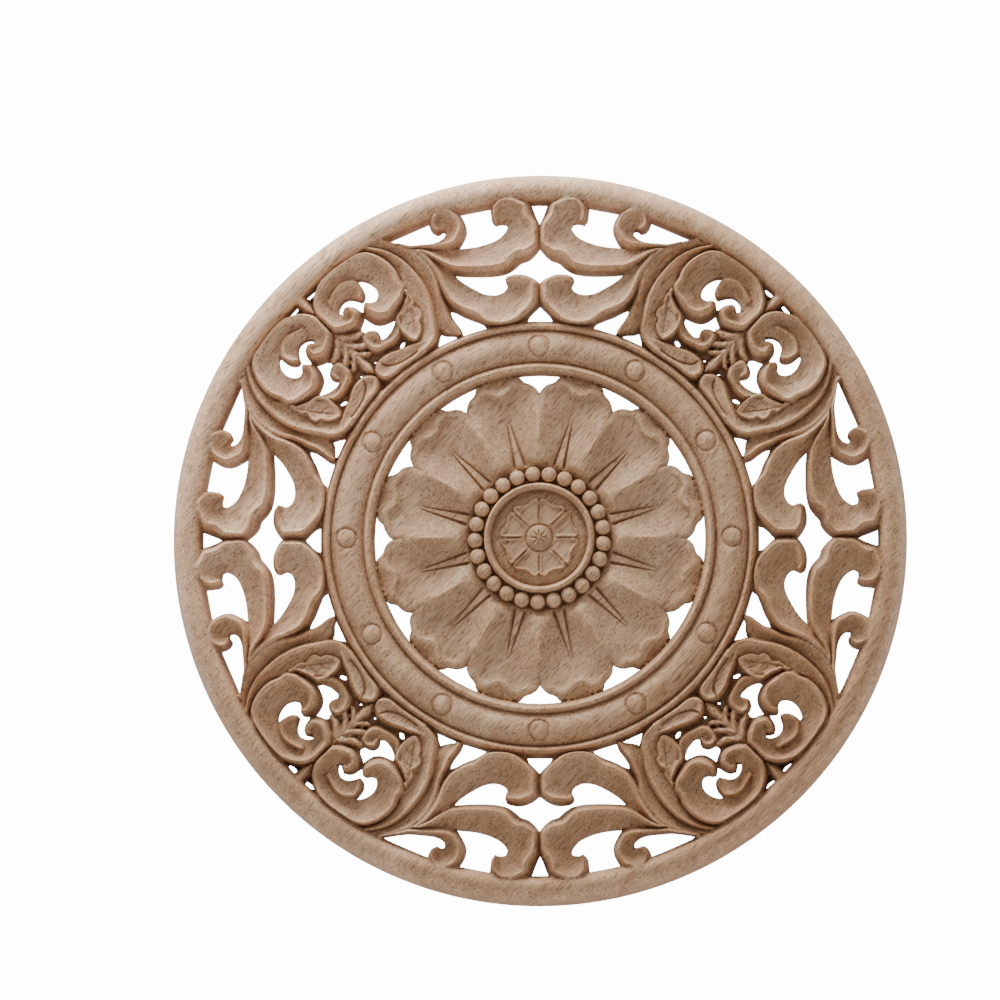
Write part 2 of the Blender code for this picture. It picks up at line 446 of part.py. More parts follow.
def feet(leaf, loops):
    """The foot of the wall where it meets the ground or a neighbour, not an opening."""
    w = spline(leaf["wall"], FINE)[:, :2]
    free = (w[:, 0] > AXIS_CLEAR) & (w[:, 1] - w[:, 0] > AXIS_CLEAR)
    for loop in loops.values():
        free &= nearest(w, np.vstack([loop, loop[:1]]))[0] > OPENING_CLEAR
    return stretches(w, free, LEAST_FOOT, FOOT_TOL)


def opening_loops():
    """Openings of one eighth; edges along the rim and the ring follow their circles."""
    loops = {}
    for name, pts in OPENINGS.items():
        dense = smooth_loop(pts, FINE)
        half = len(dense) // 2
        ring = np.vstack([dense, dense[:1]])
        loop = np.vstack([simplify(ring[:half + 1], EDGE_TOL)[:-1],
                          simplify(ring[half:], EDGE_TOL)[:-1]])
        loops[name] = loop
    return loops


def band_plan():
    p = Plan()
    loops = opening_loops()
    outline = np.vstack([[(0, R_SPLIT)], [(0, R_OUT)], arc(R_OUT, 0, 45, ARC)[1:],
                         arc(R_SPLIT, 45, 0, ARC)[:-1]])
    p.add(outline, closed=True)
    for loop in loops.values():
        p.add(loop, closed=True)
    for r in BEAD_CIRCLES + RIM_CIRCLES:
        p.add(arc(r, 0, 45, ARC))
    p.add(arc(RIM_FOOT, 0, 45, ARC), join=False)
    for leaf in LEAVES:
        for run in crest(leaf) + feet(leaf, loops):
            p.add(run)
    # a loose net of points for the scoops
    pts = np.array(p.pts)
    extra = []
    for j, y in enumerate(np.arange(R_SPLIT * math.cos(math.pi / 4), RIM[0][0], NET * 0.87)):
        for x in np.arange(1.5 + NET / 2 * (j % 2), y - AXIS_CLEAR, NET):
            q = np.array([x, y])
            in_band = RING[-1][0] + 1 < math.hypot(x, y) < RIM[0][0]
            if in_band and np.hypot(*(pts - q).T).min() > NET_CLEAR:
                extra.append(q)
    p.add(extra, join=False)

    def keep(c):
        ok = inside(c, outline)
        for loop in loops.values():
            ok &= ~inside(c, loop)
        return ok
    v, f = p.triangles(keep)
    return v, f, band_height(v)


def petal_loop():
    """Opening beside a petal, in the frame of a button."""
    half = math.pi / PETALS
    out = []
    for x, y in PETAL_EDGE:
        r, t = math.hypot(x, y), half - math.atan2(x, y)
        out.append((r * math.sin(max(t, 0)), r * math.cos(max(t, 0))))
    out[0] = (0.0, math.hypot(*PETAL_EDGE[0]))
    end = math.degrees(math.atan2(*out[-1]))
    return np.vstack([out[:-1], arc(R_RING_IN, end, 0, 3)])


def ring_plan():
    p = Plan()
    half = 180 / PETALS
    n = ARC // 3
    p.add(arc(R_SPLIT, 0, half, n))
    p.add([(0, R_SPLIT), (0, R_FLOWER)])
    p.add(arc(R_FLOWER, 0, half, n))
    p.add([arc(R_SPLIT, half, half, 1)[0], arc(R_FLOWER, half, half, 1)[0]])
    for r in RING_CIRCLES:
        p.add(arc(r, 0, half, n))
    p.add(arc(61.5, 0.5 * half, half, 1), join=False)
    for r in (35.0, 54.0):
        p.add(arc(r, 0, half, 2), join=False)
    loop = petal_loop()
    p.add(loop, closed=True)
    for r in (BUTTON_R - 0.1, BUTTON_GROOVE - 0.2):
        ring = arc(r, 0, 180, 5)
        p.add([(x, y + BUTTON_AT) for x, y in ring])
    sector = np.vstack([arc(R_SPLIT, 0, half, n), arc(R_FLOWER, half, 0, n)])
    v, f = p.triangles(lambda c: inside(c, sector) & ~inside(c, loop))
    return v, f, ring_height(v)


def centre_plan():
    p = Plan()
    p.add(arc(R_FLOWER, 0, 360, 8 * ARC)[:-1], closed=True)
    for r, n in BOSS_CIRCLES:
        p.add(arc(r, 0, 360, n)[:-1], closed=True)
    for cx, cy in bead_centres():
        for q, n in BEAD_LOOPS:
            p.add(arc(BEAD_R * q, 0, 360, n)[:-1] + np.array([[cx, cy]]), closed=True)
        p.add([(cx, cy)])
    p.add([(0.0, 0.0)])
    p.add(nooks((-2.4, 2.4)), join=False)
    v, f = p.triangles(lambda c: np.hypot(*c.T) < R_FLOWER)
    return v, f, centre_height(v)


def copies(v, f, h, turns, mirrors, start):
    """Turned and mirrored copies of a piece of surface; angles clockwise from the top."""
    out_v, out_f = [], []
    for k in range(turns):
        a = math.radians(start + 360 / turns * k)
        c, s = math.cos(a), math.sin(a)
        for m in mirrors:
            x = v[:, 0] * m
            w = np.stack([x * c + v[:, 1] * s, -h, -x * s + v[:, 1] * c], 1)
            out_f.append((f if m > 0 else f[:, ::-1]) + len(out_v) * len(v))
            out_v.append(w)
    return np.vstack(out_v), np.vstack(out_f)


def build():
    prepare()
    bm = bmesh.new()
    for (v, f, h), turns, mirrors, start in ((band_plan(), 4, (1, -1), 45.0),
                                             (ring_plan(), PETALS, (1, -1), 0.0),
                                             (centre_plan(), 1, (1,), 0.0)):
        w, t = copies(v, f, h, turns, mirrors, start)
        vs = [bm.verts.new(q * MM) for q in w]
        for tri in t:
            bm.faces.new([vs[i] for i in tri])
    bmesh.ops.remove_doubles(bm, verts=bm.verts, dist=0.02 * MM)
    # the flat back from the same outlines, and the straight cut walls
    rim = [e for e in bm.edges if len(e.link_faces) == 1]
    ids = {}
    for e in rim:
        for q in e.verts:
            ids.setdefault(q, len(ids))
    order = list(ids)
    flat = np.array([(q.co.x, q.co.z) for q in order])
    edges = [(ids[e.verts[0]], ids[e.verts[1]]) for e in rim]
    res = delaunay_2d_cdt([Vector(q / MM) for q in flat], edges, [], 0, 1e-5)
    assert len(res[0]) == len(order), "outlines cross"
    seg = flat[np.array(edges)] / MM
    centres = np.array([[sum(res[0][i][k] for i in t) / 3 for k in (0, 1)] for t in res[2]])
    x0, y0, x1, y1 = seg[:, 0, 0], seg[:, 0, 1], seg[:, 1, 0], seg[:, 1, 1]
    dy = np.where(y1 == y0, 1e-12, y1 - y0)
    cx, cy = centres[:, :1], centres[:, 1:]
    hit = ((y0 > cy) != (y1 > cy)) & (cx < x0 + (cy - y0) * (x1 - x0) / dy)
    solid = hit.sum(1) % 2 == 1
    back = [bm.verts.new((q[0], 0.0, q[1])) for q in flat]
    src = [g[0] for g in res[3]]
    for t, good in zip(res[2], solid):
        if good:
            bm.faces.new([back[src[i]] for i in t])
    for e in rim:
        a, b = e.verts
        bm.faces.new([a, b, back[ids[b]], back[ids[a]]])
    bmesh.ops.triangulate(bm, faces=[f for f in bm.faces if len(f.verts) == 4])
    bmesh.ops.recalc_face_normals(bm, faces=bm.faces)
    mesh = bpy.data.meshes.new("carved_roundel")
    bm.to_mesh(mesh)
    if bm.calc_volume(signed=True) < 0:
        mesh.flip_normals()
    bm.free()
    return mesh


clean()
group = bpy.data.collections.new("carved_applique")
bpy.context.scene.collection.children.link(group)
panel = bpy.data.objects.new("carved_roundel", build())
group.objects.link(panel)
wood = bpy.data.materials.new("wood")
wood.use_nodes = True
shader = wood.node_tree.nodes["Principled BSDF"]
shader.inputs["Base Color"].default_value = (0.34, 0.22, 0.14, 1.0)
shader.inputs["Roughness"].default_value = 0.62
panel.data.materials.append(wood)
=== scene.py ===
"""Carved wooden applique: the carving at full fineness, its wood, the studio and the camera.

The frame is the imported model's: the flat back on y = 0, the carving facing -Y, +Z up.
Sizes of the carving are in millimetres, as in the model's own drawing.
"""
import math
import bpy
import bmesh
import numpy as np
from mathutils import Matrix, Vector
from mathutils.geometry import delaunay_2d_cdt


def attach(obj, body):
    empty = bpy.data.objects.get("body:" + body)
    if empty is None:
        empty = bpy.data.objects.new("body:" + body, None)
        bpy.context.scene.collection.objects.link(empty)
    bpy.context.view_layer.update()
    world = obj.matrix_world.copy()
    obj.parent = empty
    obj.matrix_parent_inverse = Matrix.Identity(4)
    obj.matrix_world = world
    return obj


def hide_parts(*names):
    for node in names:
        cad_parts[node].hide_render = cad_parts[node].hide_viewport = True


MM = 0.001

# main radii, counts and levels
R_OUT = 150.0  # outside radius of the rim
R_SPLIT = 85.3  # groove between the outer bead and the crowned ring
R_RING_IN = 67.6  # inner edge of the ring
R_FLOWER = 29.6  # foot of the petals, outside the beads
PETALS = 12  # also the number of buttons on the ring
BEADS = 25
BEAD_R, BEAD_AT = 3.1, 26.2  # radius of a bead, and of the circle the beads lie on
BEAD_TURN, BEAD_BASE = 1.5, 9.7  # degrees of the first bead past the bottom, centres' level
BUTTON_AT = 78.8  # radius of the circle the buttons stand on
FLOOR = 4.5  # lowest level of the ground between the leaves
WALL_CURVE = 1.7  # how rounded the walls are; 1 is a plain slope
SCOOP_REACH = 4.0  # reach of the scoop in a leaf whose hollow is a single point
STROKE_FOOT = 5.0  # level the strokes rise from
STEEP = 6  # fall per millimetre of a form beyond its own outline

# radius, height above the back: the three turned mouldings
RIM = [(137.6, 4.0), (138.4, 10.5), (139.4, 13.2), (140.8, 14.8), (142.6, 15.4), (144.3, 15.1),
       (145.9, 14.2), (147.3, 12.8), (148.6, 10.7), (149.5, 8.2), (150.0, 5.0)]
RING = [(67.6, 6.0), (68.4, 9.2), (69.2, 11.4), (70.2, 12.2), (71.2, 11.4), (72.1, 9.0),
        (72.6, 9.9), (74.5, 11.8), (76.5, 12.9), (78.7, 13.3), (81.0, 12.9), (83.2, 11.7),
        (84.8, 9.9), (85.3, 8.8), (86.0, 11.2), (87.0, 12.2), (88.0, 11.2), (88.8, 8.6),
        (89.5, 4.5)]
BOSS = [(0.0, 12.6), (2.5, 12.2), (4.7, 11.0), (5.6, 9.6), (6.2, 10.4), (9.0, 10.7), (12.6, 11.8),
        (13.1, 11.4), (14.3, 12.2), (15.6, 11.4), (16.8, 9.2), (18.6, 8.8), (19.5, 8.2),
        (20.3, 12.0), (21.4, 13.4), (22.3, 12.2), (22.9, 6.4), (24.6, 5.0), (28.0, 5.0), (29.6, 7.6)]
# buttons: radius, level of the top, rise over the ring, fall from the middle to the edge
BUTTON_R, BUTTON_TOP, BUTTON_RISE, BUTTON_FALL = 3.6, 13.9, 0.9, 1.3
MOAT_R, MOAT_HALF, MOAT_DEEP = 4.0, 1.0, 1.0  # soft groove round each button

# Petal outline from the notch beside it to where it runs under the ring: x across, y outwards.
PETAL_EDGE = [(15.5, 57.8), (14.5, 60.2), (13.1, 61.9), (11.3, 63.1), (10.3, 64.0), (9.4, 65.8),
              (8.1, 67.2)]
# radius, height along the petal's middle and along the ridge between two petals
PETAL_MID = [(29.6, 7.6), (36.0, 7.3), (44.0, 6.3), (50.0, 6.0), (55.0, 6.6), (58.8, 7.4),
             (60.0, 9.0), (60.8, 9.7), (62.0, 9.5), (64.4, 8.2), (67.6, 6.4)]
PETAL_RIDGE = [(29.6, 7.6), (33.0, 11.4), (42.0, 12.6), (52.0, 11.6), (60.0, 8.4), (67.6, 6.4)]
PETAL_CORNER = 3  # the point of the outline where tip and flank meet
RIDGE_POWER = 1.8  # sharpness of the ridge between two petals
RIDGE_SHARPENS = (33, 46)  # radii over which it turns from round to sharp
CREASE_DEEP, CREASE_HALF = 1.0, 0.6  # crease along the ridge
CREASE_SETS_IN = (44, 58)  # radii over which it sets in
# The lip near a petal's tip swings outwards beside its middle and comes partly back.
LIP_WAVE = 2.6  # how far it swings outwards
LIP_OUT, LIP_BACK = (1.0, 6.0), (7.5, 12.0)  # distances from the middle of both swings
LIP_RETURN = 0.7  # share of the swing that it comes back
LIP_SETS_IN = (50, 57)  # radii over which the wave sets in
# The pair of V cuts up the middle of each petal closes and fades towards the tip.
GROOVE_START, GROOVE_END = 30.4, 51.5
GROOVE_DEEP, GROOVE_RIDGE = 2.0, 0.6  # depth of the cuts, height of the fine ridge between them
GROOVE_RUN_IN, GROOVE_FADE = 0.8, 0.7  # length over which they set in, power of their fading
GROOVE_AT, GROOVE_CLOSES = 2.2, 1.8  # distance from the middle, and how much less at the end
GROOVE_WIDE, GROOVE_NARROWS = 0.95, 0.65  # half width, and how much less at the end

# The small rosette in the boss
ROSE_PETALS, ROSE_R = 8, 15.3
ROSE_IN, ROSE_OUT = 6, 17.5  # radii between which it takes the place of the boss
ROSE_GROUND, ROSE_STEP = 9.2, 1.2  # level round the petals, and how much higher they lie
ROSE_SLOPE = (0.5, -0.4)  # where the step lies, from the petals' edge outwards
ROSE_WAVE, WAVE_AT, WAVE_LONG = 0.7, 6, 29  # swing of the edge; its crest and length, degrees
NOTCH_DEEP, NOTCH_HALF = 1.1, 2.0  # notch between two petals; half width in degrees
OUTLINE_HIGH, OUTLINE_HALF = 1.1, 0.45  # raised line along the edge
VEIN_HIGH, VEIN_AT, VEIN_HALF = 0.8, 0.8, 0.4  # raised lines beside the cut between two petals
VEIN_CUT, VEIN_CUT_HALF = 0.5, 0.35  # the cut itself
VEIN_STARTS, VEIN_ENDS = (6.2, 8.0), (0.2, -0.6)  # radii of their start; their end, from the edge
STAR_R, STAR_RAYS = 3.5, 8  # star of cuts on the button in the middle
STAR_DEEP, STAR_HALF, STAR_FADE = 0.9, 0.28, 0.7  # depth, half width, length of their ends
STAR_EYE = (0.3, 0.8)  # radii over which the cuts set in

# The band repeats eight times, every second time mirrored. Each leaf is drawn in the frame
# of one eighth: x along the rim from its middle diagonal, y outwards.
# "wall" is the steep convex edge (x, y, width of its slope, height of its foot), "hollow" the
# concave edge (x, y, height there); "top" is the crest behind the wall.
LEAVES = {
    "scroll": dict(
        top=15.6,
        wall=[(9.2, 123.2, 1.2, 7), (11.0, 124.2, 1.6, 4), (12.9, 123.2, 2.0, 4), (14.3, 120.6, 2.6, 4),
              (14.5, 117.7, 2.8, 4), (12.0, 115.0, 3.0, 5), (8.0, 113.9, 3.0, 6), (3.5, 115.8, 2.8, 8),
              (0.3, 119.4, 2.0, 10), (0.1, 124.5, 1.4, 12), (0.2, 129.2, 1.4, 12), (2.2, 133.5, 1.5, 9),
              (6.0, 136.7, 1.5, 6), (10.5, 138.4, 1.3, 7), (16.0, 138.6, 1.2, 8), (23.0, 137.7, 1.2, 8),
              (29.5, 136.0, 1.2, 9), (33.2, 133.6, 1.3, 10.5), (35.7, 129.3, 1.4, 10.5),
              (36.9, 124.0, 1.5, 10), (36.6, 118.9, 1.6, 9.5), (35.2, 115.2, 1.8, 9),
              (34.5, 111.6, 2.0, 8), (31.9, 109.0, 2.2, 7), (27.0, 107.2, 3.0, 6), (21.6, 106.6, 3.3, 4),
              (17.2, 108.3, 3.8, 4), (14.7, 111.0, 4.2, 4), (14.2, 114.6, 3.6, 4), (15.2, 117.7, 2.4, 4),
              (17.4, 119.4, 1.4, 6)],
        hollow=[(8.3, 122.3, 9.6), (7.4, 123.2, 9.6), (7.2, 126.0, 9.8), (8.0, 130.2, 10.6),
                (11.0, 131.5, 10.6), (15.0, 132.3, 10.4), (19.0, 131.3, 10.0), (22.6, 128.2, 9.6),
                (24.8, 125.6, 9.6), (25.7, 122.3, 9.6), (25.3, 119.6, 9.6), (23.9, 117.5, 9.6),
                (21.9, 116.6, 9.6), (20.2, 117.2, 9.6), (18.4, 119.1, 9.6)]),
    "inner curl": dict(
        top=13.6,
        wall=[(7.6, 130.2, 0.8, 12), (11.0, 131.6, 1.1, 9.4), (15.0, 132.4, 1.2, 8.5),
              (19.0, 131.4, 1.3, 8), (22.4, 128.0, 1.4, 5), (22.1, 125.0, 1.4, 4), (21.0, 122.4, 1.4, 4),
              (18.7, 120.8, 1.2, 5)],
        hollow=[(7.3, 123.4, 10.4), (9.0, 125.2, 9.6), (12.0, 126.2, 9.4), (14.9, 125.1, 9.4),
                (16.7, 122.8, 9.4), (17.6, 121.1, 9.4)]),
    "outer curl": dict(
        top=14.6,
        wall=[(40.2, 132.2, 0.8, 13.2), (43.4, 127.0, 0.9, 13.4), (47.0, 121.3, 1.0, 13.2),
              (50.8, 117.3, 1.4, 12.0), (54.2, 113.4, 2.0, 9.5), (57.6, 109.9, 2.6, 7.5),
              (61.5, 108.4, 2.7, 5), (65.5, 109.2, 2.8, 4), (69.0, 111.2, 2.6, 4), (71.0, 114.8, 2.4, 4),
              (71.4, 119.0, 2.2, 7), (69.4, 123.1, 2.0, 9), (66.0, 125.4, 1.8, 10),
              (62.0, 125.3, 1.8, 9), (59.2, 123.2, 1.6, 4), (58.5, 120.3, 1.4, 4), (59.4, 118.4, 1.2, 6)],
        hollow=[(40.9, 131.8, 12.6), (43.6, 127.9, 11.4), (47.0, 123.7, 10.4), (51.6, 119.6, 9.6),
                (56.0, 116.3, 9.4), (60.4, 115.4, 9.4), (62.2, 116.6, 9.4), (60.9, 118.1, 9.4)]),
    "upper leaf": dict(
        top=15.0,
        wall=[(47.6, 119.6, 0.8, 14.0), (49.7, 114.6, 1.0, 13.6), (50.6, 109.6, 1.3, 10.8),
              (52.0, 103.2, 2.2, 4), (54.9, 98.7, 2.8, 4), (59.4, 93.9, 3.0, 4), (64.4, 89.4, 3.2, 4),
              (69.3, 86.7, 3.4, 4), (74.8, 86.0, 4.2, 4), (78.4, 84.6, 3.4, 4), (84.9, 84.5, 2.6, 5),
              (88.3, 87.7, 2.4, 7), (91.7, 91.4, 3.0, 5), (93.4, 96.0, 3.9, 4), (95.3, 100.4, 3.4, 6),
              (94.0, 104.2, 3.0, 9), (91.4, 108.2, 2.4, 10), (87.4, 110.5, 1.9, 10),
              (82.8, 110.5, 1.8, 8), (79.6, 107.9, 1.7, 4), (78.4, 105.0, 1.4, 5)],
        hollow=[(49.6, 118.4, 13.2), (52.0, 115.6, 12.2), (54.2, 113.6, 11.0), (58.0, 109.8, 9.6),
                (61.2, 107.5, 9.2), (66.4, 103.2, 9.2), (71.6, 100.3, 9.2), (76.5, 98.8, 9.2),
                (80.6, 99.4, 9.2), (82.0, 101.2, 9.2), (80.6, 103.3, 9.2), (78.9, 104.0, 9.2)]),
    "lower leaf": dict(
        top=14.8,
        wall=[(45.6, 124.4, 0.8, 13.8), (47.4, 119.0, 0.9, 13.9), (47.8, 112.5, 1.0, 13.8),
              (46.8, 106.6, 1.2, 13.4), (44.4, 101.6, 1.4, 12.2), (42.8, 98.4, 1.8, 9),
              (41.5, 94.0, 2.3, 4), (42.4, 88.4, 2.6, 4), (44.6, 83.0, 2.8, 4), (46.4, 77.6, 1.7, 6),
              (50.4, 73.1, 1.0, 9), (55.2, 69.6, 1.4, 8), (60.0, 68.0, 2.3, 5), (67.9, 67.9, 3.0, 4),
              (71.4, 71.1, 2.9, 8), (74.6, 74.8, 2.7, 5), (73.8, 79.1, 2.3, 4), (71.0, 83.3, 2.2, 4),
              (67.0, 85.9, 1.8, 4), (65.4, 85.6, 1.3, 6)],
        hollow=[(47.6, 119.6, 13.6), (49.8, 114.6, 13.0), (50.6, 109.8, 11.0), (51.8, 103.6, 9.4),
                (52.2, 97.6, 9.2), (53.4, 92.1, 9.2), (55.6, 86.2, 9.2), (59.6, 82.5, 9.2),
                (63.4, 82.1, 9.2), (64.7, 84.2, 9.2)]),
    "pointed leaf": dict(
        top=13.4,
        wall=[(41.6, 131.4, 0.8, 12.6), (45.4, 125.0, 1.0, 12.8), (47.3, 119.0, 1.0, 13.2),
              (47.6, 112.5, 1.0, 13.2), (46.4, 106.6, 1.1, 12.8), (44.0, 101.6, 1.3, 11.8),
              (42.4, 98.4, 1.6, 8.6), (41.2, 94.0, 1.8, 4), (39.3, 89.4, 1.6, 4), (38.5, 84.8, 1.4, 4),
              (37.3, 81.4, 1.2, 5)],
        hollow=[(36.2, 133.9, 12.2), (40.2, 127.2, 11.0), (42.0, 120.0, 10.2), (41.9, 112.6, 9.8),
                (40.4, 104.8, 9.4), (37.2, 97.6, 9.2), (32.4, 90.8, 8.8), (33.0, 86.8, 9.2),
                (35.6, 82.2, 9.4)]),
    "stem": dict(
        top=14.0,
        wall=[(35.6, 134.2, 0.9, 12.2), (39.3, 128.6, 1.0, 11.0), (41.6, 121.6, 1.1, 10.0),
              (41.9, 114.0, 1.3, 9.6), (40.9, 106.6, 1.5, 9.4), (38.3, 99.5, 1.8, 9.0),
              (34.8, 94.0, 2.0, 8), (31.8, 89.4, 2.0, 5), (28.4, 87.0, 1.8, 4), (23.6, 86.2, 1.6, 6),
              (19.0, 87.0, 1.4, 8)],
        hollow=[(33.4, 134.0, 12.6), (35.9, 129.2, 11.8), (37.0, 123.6, 11.2), (36.6, 118.6, 10.8),
                (35.0, 114.2, 10.6), (34.2, 109.2, 10.8), (33.0, 104.0, 11.2), (30.2, 98.6, 11.2),
                (26.4, 95.0, 11.2), (21.0, 92.4, 11.0), (16.6, 91.2, 10.8)]),
    "stem end": dict(
        top=13.0,
        wall=[(24.0, 91.2, 0.9, 12), (19.8, 93.4, 1.2, 9.4), (15.2, 95.8, 1.6, 6),
              (11.4, 97.8, 1.8, 6.6), (7.0, 98.8, 1.8, 7), (3.2, 98.3, 1.8, 7), (0.4, 95.6, 1.4, 8),
              (0.2, 92.6, 1.4, 9), (2.6, 89.7, 1.4, 9), (11.0, 88.3, 1.4, 9.4), (21.0, 86.3, 1.2, 9.4)],
        hollow=[(26.0, 89.0, 10.8)]),
    "notched leaf": dict(
        top=13.8,
        wall=[(34.3, 110.6, 0.9, 11.5), (33.6, 107.4, 0.9, 11.6), (32.9, 104.6, 0.8, 11.6),
              (31.2, 103.6, 0.7, 12.0), (31.9, 100.8, 0.8, 11.6), (30.9, 98.0, 0.8, 11.6),
              (28.8, 97.4, 0.7, 12.0), (27.6, 95.0, 0.8, 11.6), (24.8, 93.2, 0.8, 11.4),
              (21.6, 92.6, 0.9, 11.0), (19.8, 95.0, 1.2, 6), (19.4, 98.4, 1.3, 6),
              (20.2, 102.0, 1.1, 9.5), (22.4, 105.8, 1.2, 9), (26.8, 107.2, 1.4, 8),
              (31.6, 109.2, 1.3, 9)],
        hollow=[(33.6, 110.8, 11.6)]),
    "small curl": dict(
        top=13.0,
        wall=[(24.4, 104.6, 1.2, 10), (21.8, 101.6, 1.4, 9), (20.0, 99.4, 1.5, 6), (18.4, 98.3, 1.9, 5),
              (15.2, 97.9, 2.0, 5), (11.0, 98.9, 2.1, 5), (7.4, 100.4, 2.1, 6), (5.6, 103.4, 1.9, 8),
              (5.5, 107.0, 1.7, 8), (6.9, 110.0, 1.6, 8), (9.8, 110.8, 1.4, 4), (12.3, 109.6, 1.4, 4),
              (13.6, 107.4, 1.3, 4), (12.9, 105.4, 1.1, 6)],
        hollow=[(22.8, 106.0, 10.0), (20.6, 104.4, 9.4), (17.0, 103.2, 9.2), (13.8, 103.0, 9.2),
                (12.1, 104.2, 9.2)]),
}
# fingers and spear of the palmette and the spur at the rim, as strokes: (x, y, half width),
# with the height of the crest
STROKES = {
    "spine": dict(
        top=11.2,
        line=[(0.0, 118.0, 2.6), (0.0, 111.0, 3.0), (0.0, 105.5, 1.8)]),
    "outer finger": dict(
        top=12.4,
        line=[(0.2, 117.2, 1.8), (2.8, 114.2, 2.0), (5.4, 112.0, 2.1), (8.2, 111.3, 1.4)]),
    "middle finger": dict(
        top=12.2,
        line=[(0.2, 112.6, 1.6), (1.8, 110.2, 1.7), (3.4, 108.4, 1.8), (5.3, 106.8, 1.7)]),
    "inner finger": dict(
        top=12.0,
        line=[(0.0, 107.8, 1.3), (1.6, 105.6, 1.5), (3.4, 103.8, 1.5), (4.9, 103.0, 1.1)]),
    "spear": dict(
        top=12.0,
        line=[(0.0, 104.8, 0.8), (0.0, 102.8, 1.7), (0.0, 100.6, 2.4), (0.0, 98.2, 1.8),
              (0.0, 96.4, 0.6)]),
    "spur": dict(
        top=13.0,
        line=[(0.0, 142.6, 3.4), (0.0, 139.4, 3.2), (0.0, 136.6, 2.6), (0.0, 133.6, 1.7),
              (0.0, 130.6, 0.8)]),
}
# Openings cut right through, one eighth of the band; those ending on the axis of symmetry
# (x = y) join their mirror image there.
OPENINGS = {
    "by the rim": [
        (2.6, 137.2), (4.9, 136.8), (7.2, 137.4), (7.0, 138.2), (2.8, 138.5)],
    "in the scroll": [
        (7.3, 123.3), (8.5, 124.9), (10.1, 125.8), (12.0, 126.2), (14.0, 125.7), (15.7, 124.2),
        (16.8, 122.3), (17.6, 120.9), (18.8, 120.8), (20.4, 121.7), (21.7, 123.8), (22.1, 126.0),
        (22.2, 128.0), (23.0, 128.0), (24.6, 126.0), (25.6, 123.0), (25.5, 120.2), (24.2, 117.8),
        (22.2, 116.6), (20.3, 117.2), (18.8, 119.0), (17.4, 119.5), (16.2, 118.6), (15.1, 117.6),
        (14.6, 118.6), (14.1, 121.2), (12.9, 123.1), (11.0, 124.2), (9.4, 123.3), (8.2, 122.3)],
    "under the scroll": [
        (8.9, 112.4), (9.8, 113.6), (12.0, 114.6), (13.8, 115.6), (14.1, 113.4), (14.9, 110.8),
        (16.6, 108.7), (19.0, 107.4), (21.8, 106.4), (21.3, 105.1), (18.6, 103.6), (15.6, 103.0),
        (13.0, 103.2), (12.0, 104.2), (13.2, 105.7), (13.6, 107.4), (12.9, 109.1), (11.2, 110.3),
        (9.5, 110.8)],
    "pin hole": [
        (3.4, 99.3), (4.0, 100.1), (4.7, 99.5), (4.1, 98.7)],
    "slot": [
        (15.2, 96.4), (16.3, 97.4), (18.0, 97.6), (18.6, 96.9), (17.6, 96.0), (16.1, 95.7)],
    "along the rim": [
        (40.8, 131.8), (59.7, 124.4), (58.6, 122.0), (58.5, 120.0), (59.5, 118.3), (61.4, 117.9),
        (62.2, 116.8), (60.9, 115.5), (58.4, 115.4), (55.6, 116.5), (51.6, 119.6), (47.2, 123.4),
        (43.6, 127.9)],
    "over the leaf": [
        (71.6, 118.0), (82.1, 110.9), (80.4, 108.8), (78.8, 106.6), (78.6, 104.4), (80.6, 103.3),
        (82.0, 101.6), (81.4, 99.8), (79.4, 99.0), (76.0, 98.9), (71.6, 100.3), (66.4, 103.2),
        (60.4, 108.0), (64.8, 109.1), (68.2, 110.6), (70.3, 113.3), (71.2, 116.0)],
    "between the leaves": [
        (84.7, 84.7), (81.0, 84.3), (77.8, 84.7), (75.2, 86.0), (72.0, 86.2), (68.4, 87.0), (64.6, 89.3),
        (60.8, 92.6), (56.4, 97.1), (52.1, 102.0), (52.2, 97.6), (53.4, 92.1), (55.4, 86.6),
        (58.6, 83.0), (61.8, 81.9), (64.0, 82.5), (65.2, 85.2), (67.0, 85.9), (70.2, 84.2), (72.7, 81.4),
        (74.0, 78.2), (74.5, 74.5)],
    "by the twin leaf": [
        (97.6, 97.6), (95.1, 100.0), (94.2, 97.8), (92.6, 94.2), (91.7, 91.7)],
    "by the ring": [
        (63.4, 63.4), (59.8, 67.0), (61.6, 67.8), (67.9, 67.9)],
    "beside the lower leaf": [
        (40.8, 92.4), (41.8, 90.4), (43.0, 86.6), (44.9, 82.3), (46.2, 79.0), (46.0, 76.8), (37.3, 81.4),
        (38.4, 83.8), (38.9, 87.3), (39.7, 90.7)],
    "beside the stem": [
        (26.6, 85.6), (28.6, 87.1), (31.2, 88.5), (32.2, 86.6), (34.6, 84.0), (35.4, 82.4)],
}

# fine cuts in the band: points, depth and half width
CUTS = [
    ([(5.0, 97.0), (5.9, 94.6), (8.0, 92.7), (11.2, 91.0), (15.0, 90.0), (19.0, 89.4)], 1.4, 0.7),
    ([(33.0, 108.6), (30.0, 103.8), (26.8, 99.6), (23.6, 95.6)], 0.7, 0.6),
    ([(29.4, 102.8), (27.2, 103.6), (25.0, 103.0)], 0.5, 0.5),
    ([(26.6, 99.2), (24.6, 99.6), (22.4, 98.4)], 0.5, 0.5),
]
# fine cut along the foot of a leaf that lies on another, where its wall's foot is high and
# there is a clear step up to the crest
EDGE_CUT, EDGE_HALF = 1.1, 0.6
HIGH_FOOT, CLEAR_STEP = (8, 10), (0.8, 2.2)

# Spacing of the mesh
FINE = 0.7  # step along every drawn line
NET = 1.2  # spacing of the net of points between them
ROW = 0.87  # distance between the net's staggered rows, in spacings
ARC = 72  # facets of the big circles in an eighth of a turn; a multiple of 3
CORNER = 55  # degrees from which a bend in an opening's outline is a corner
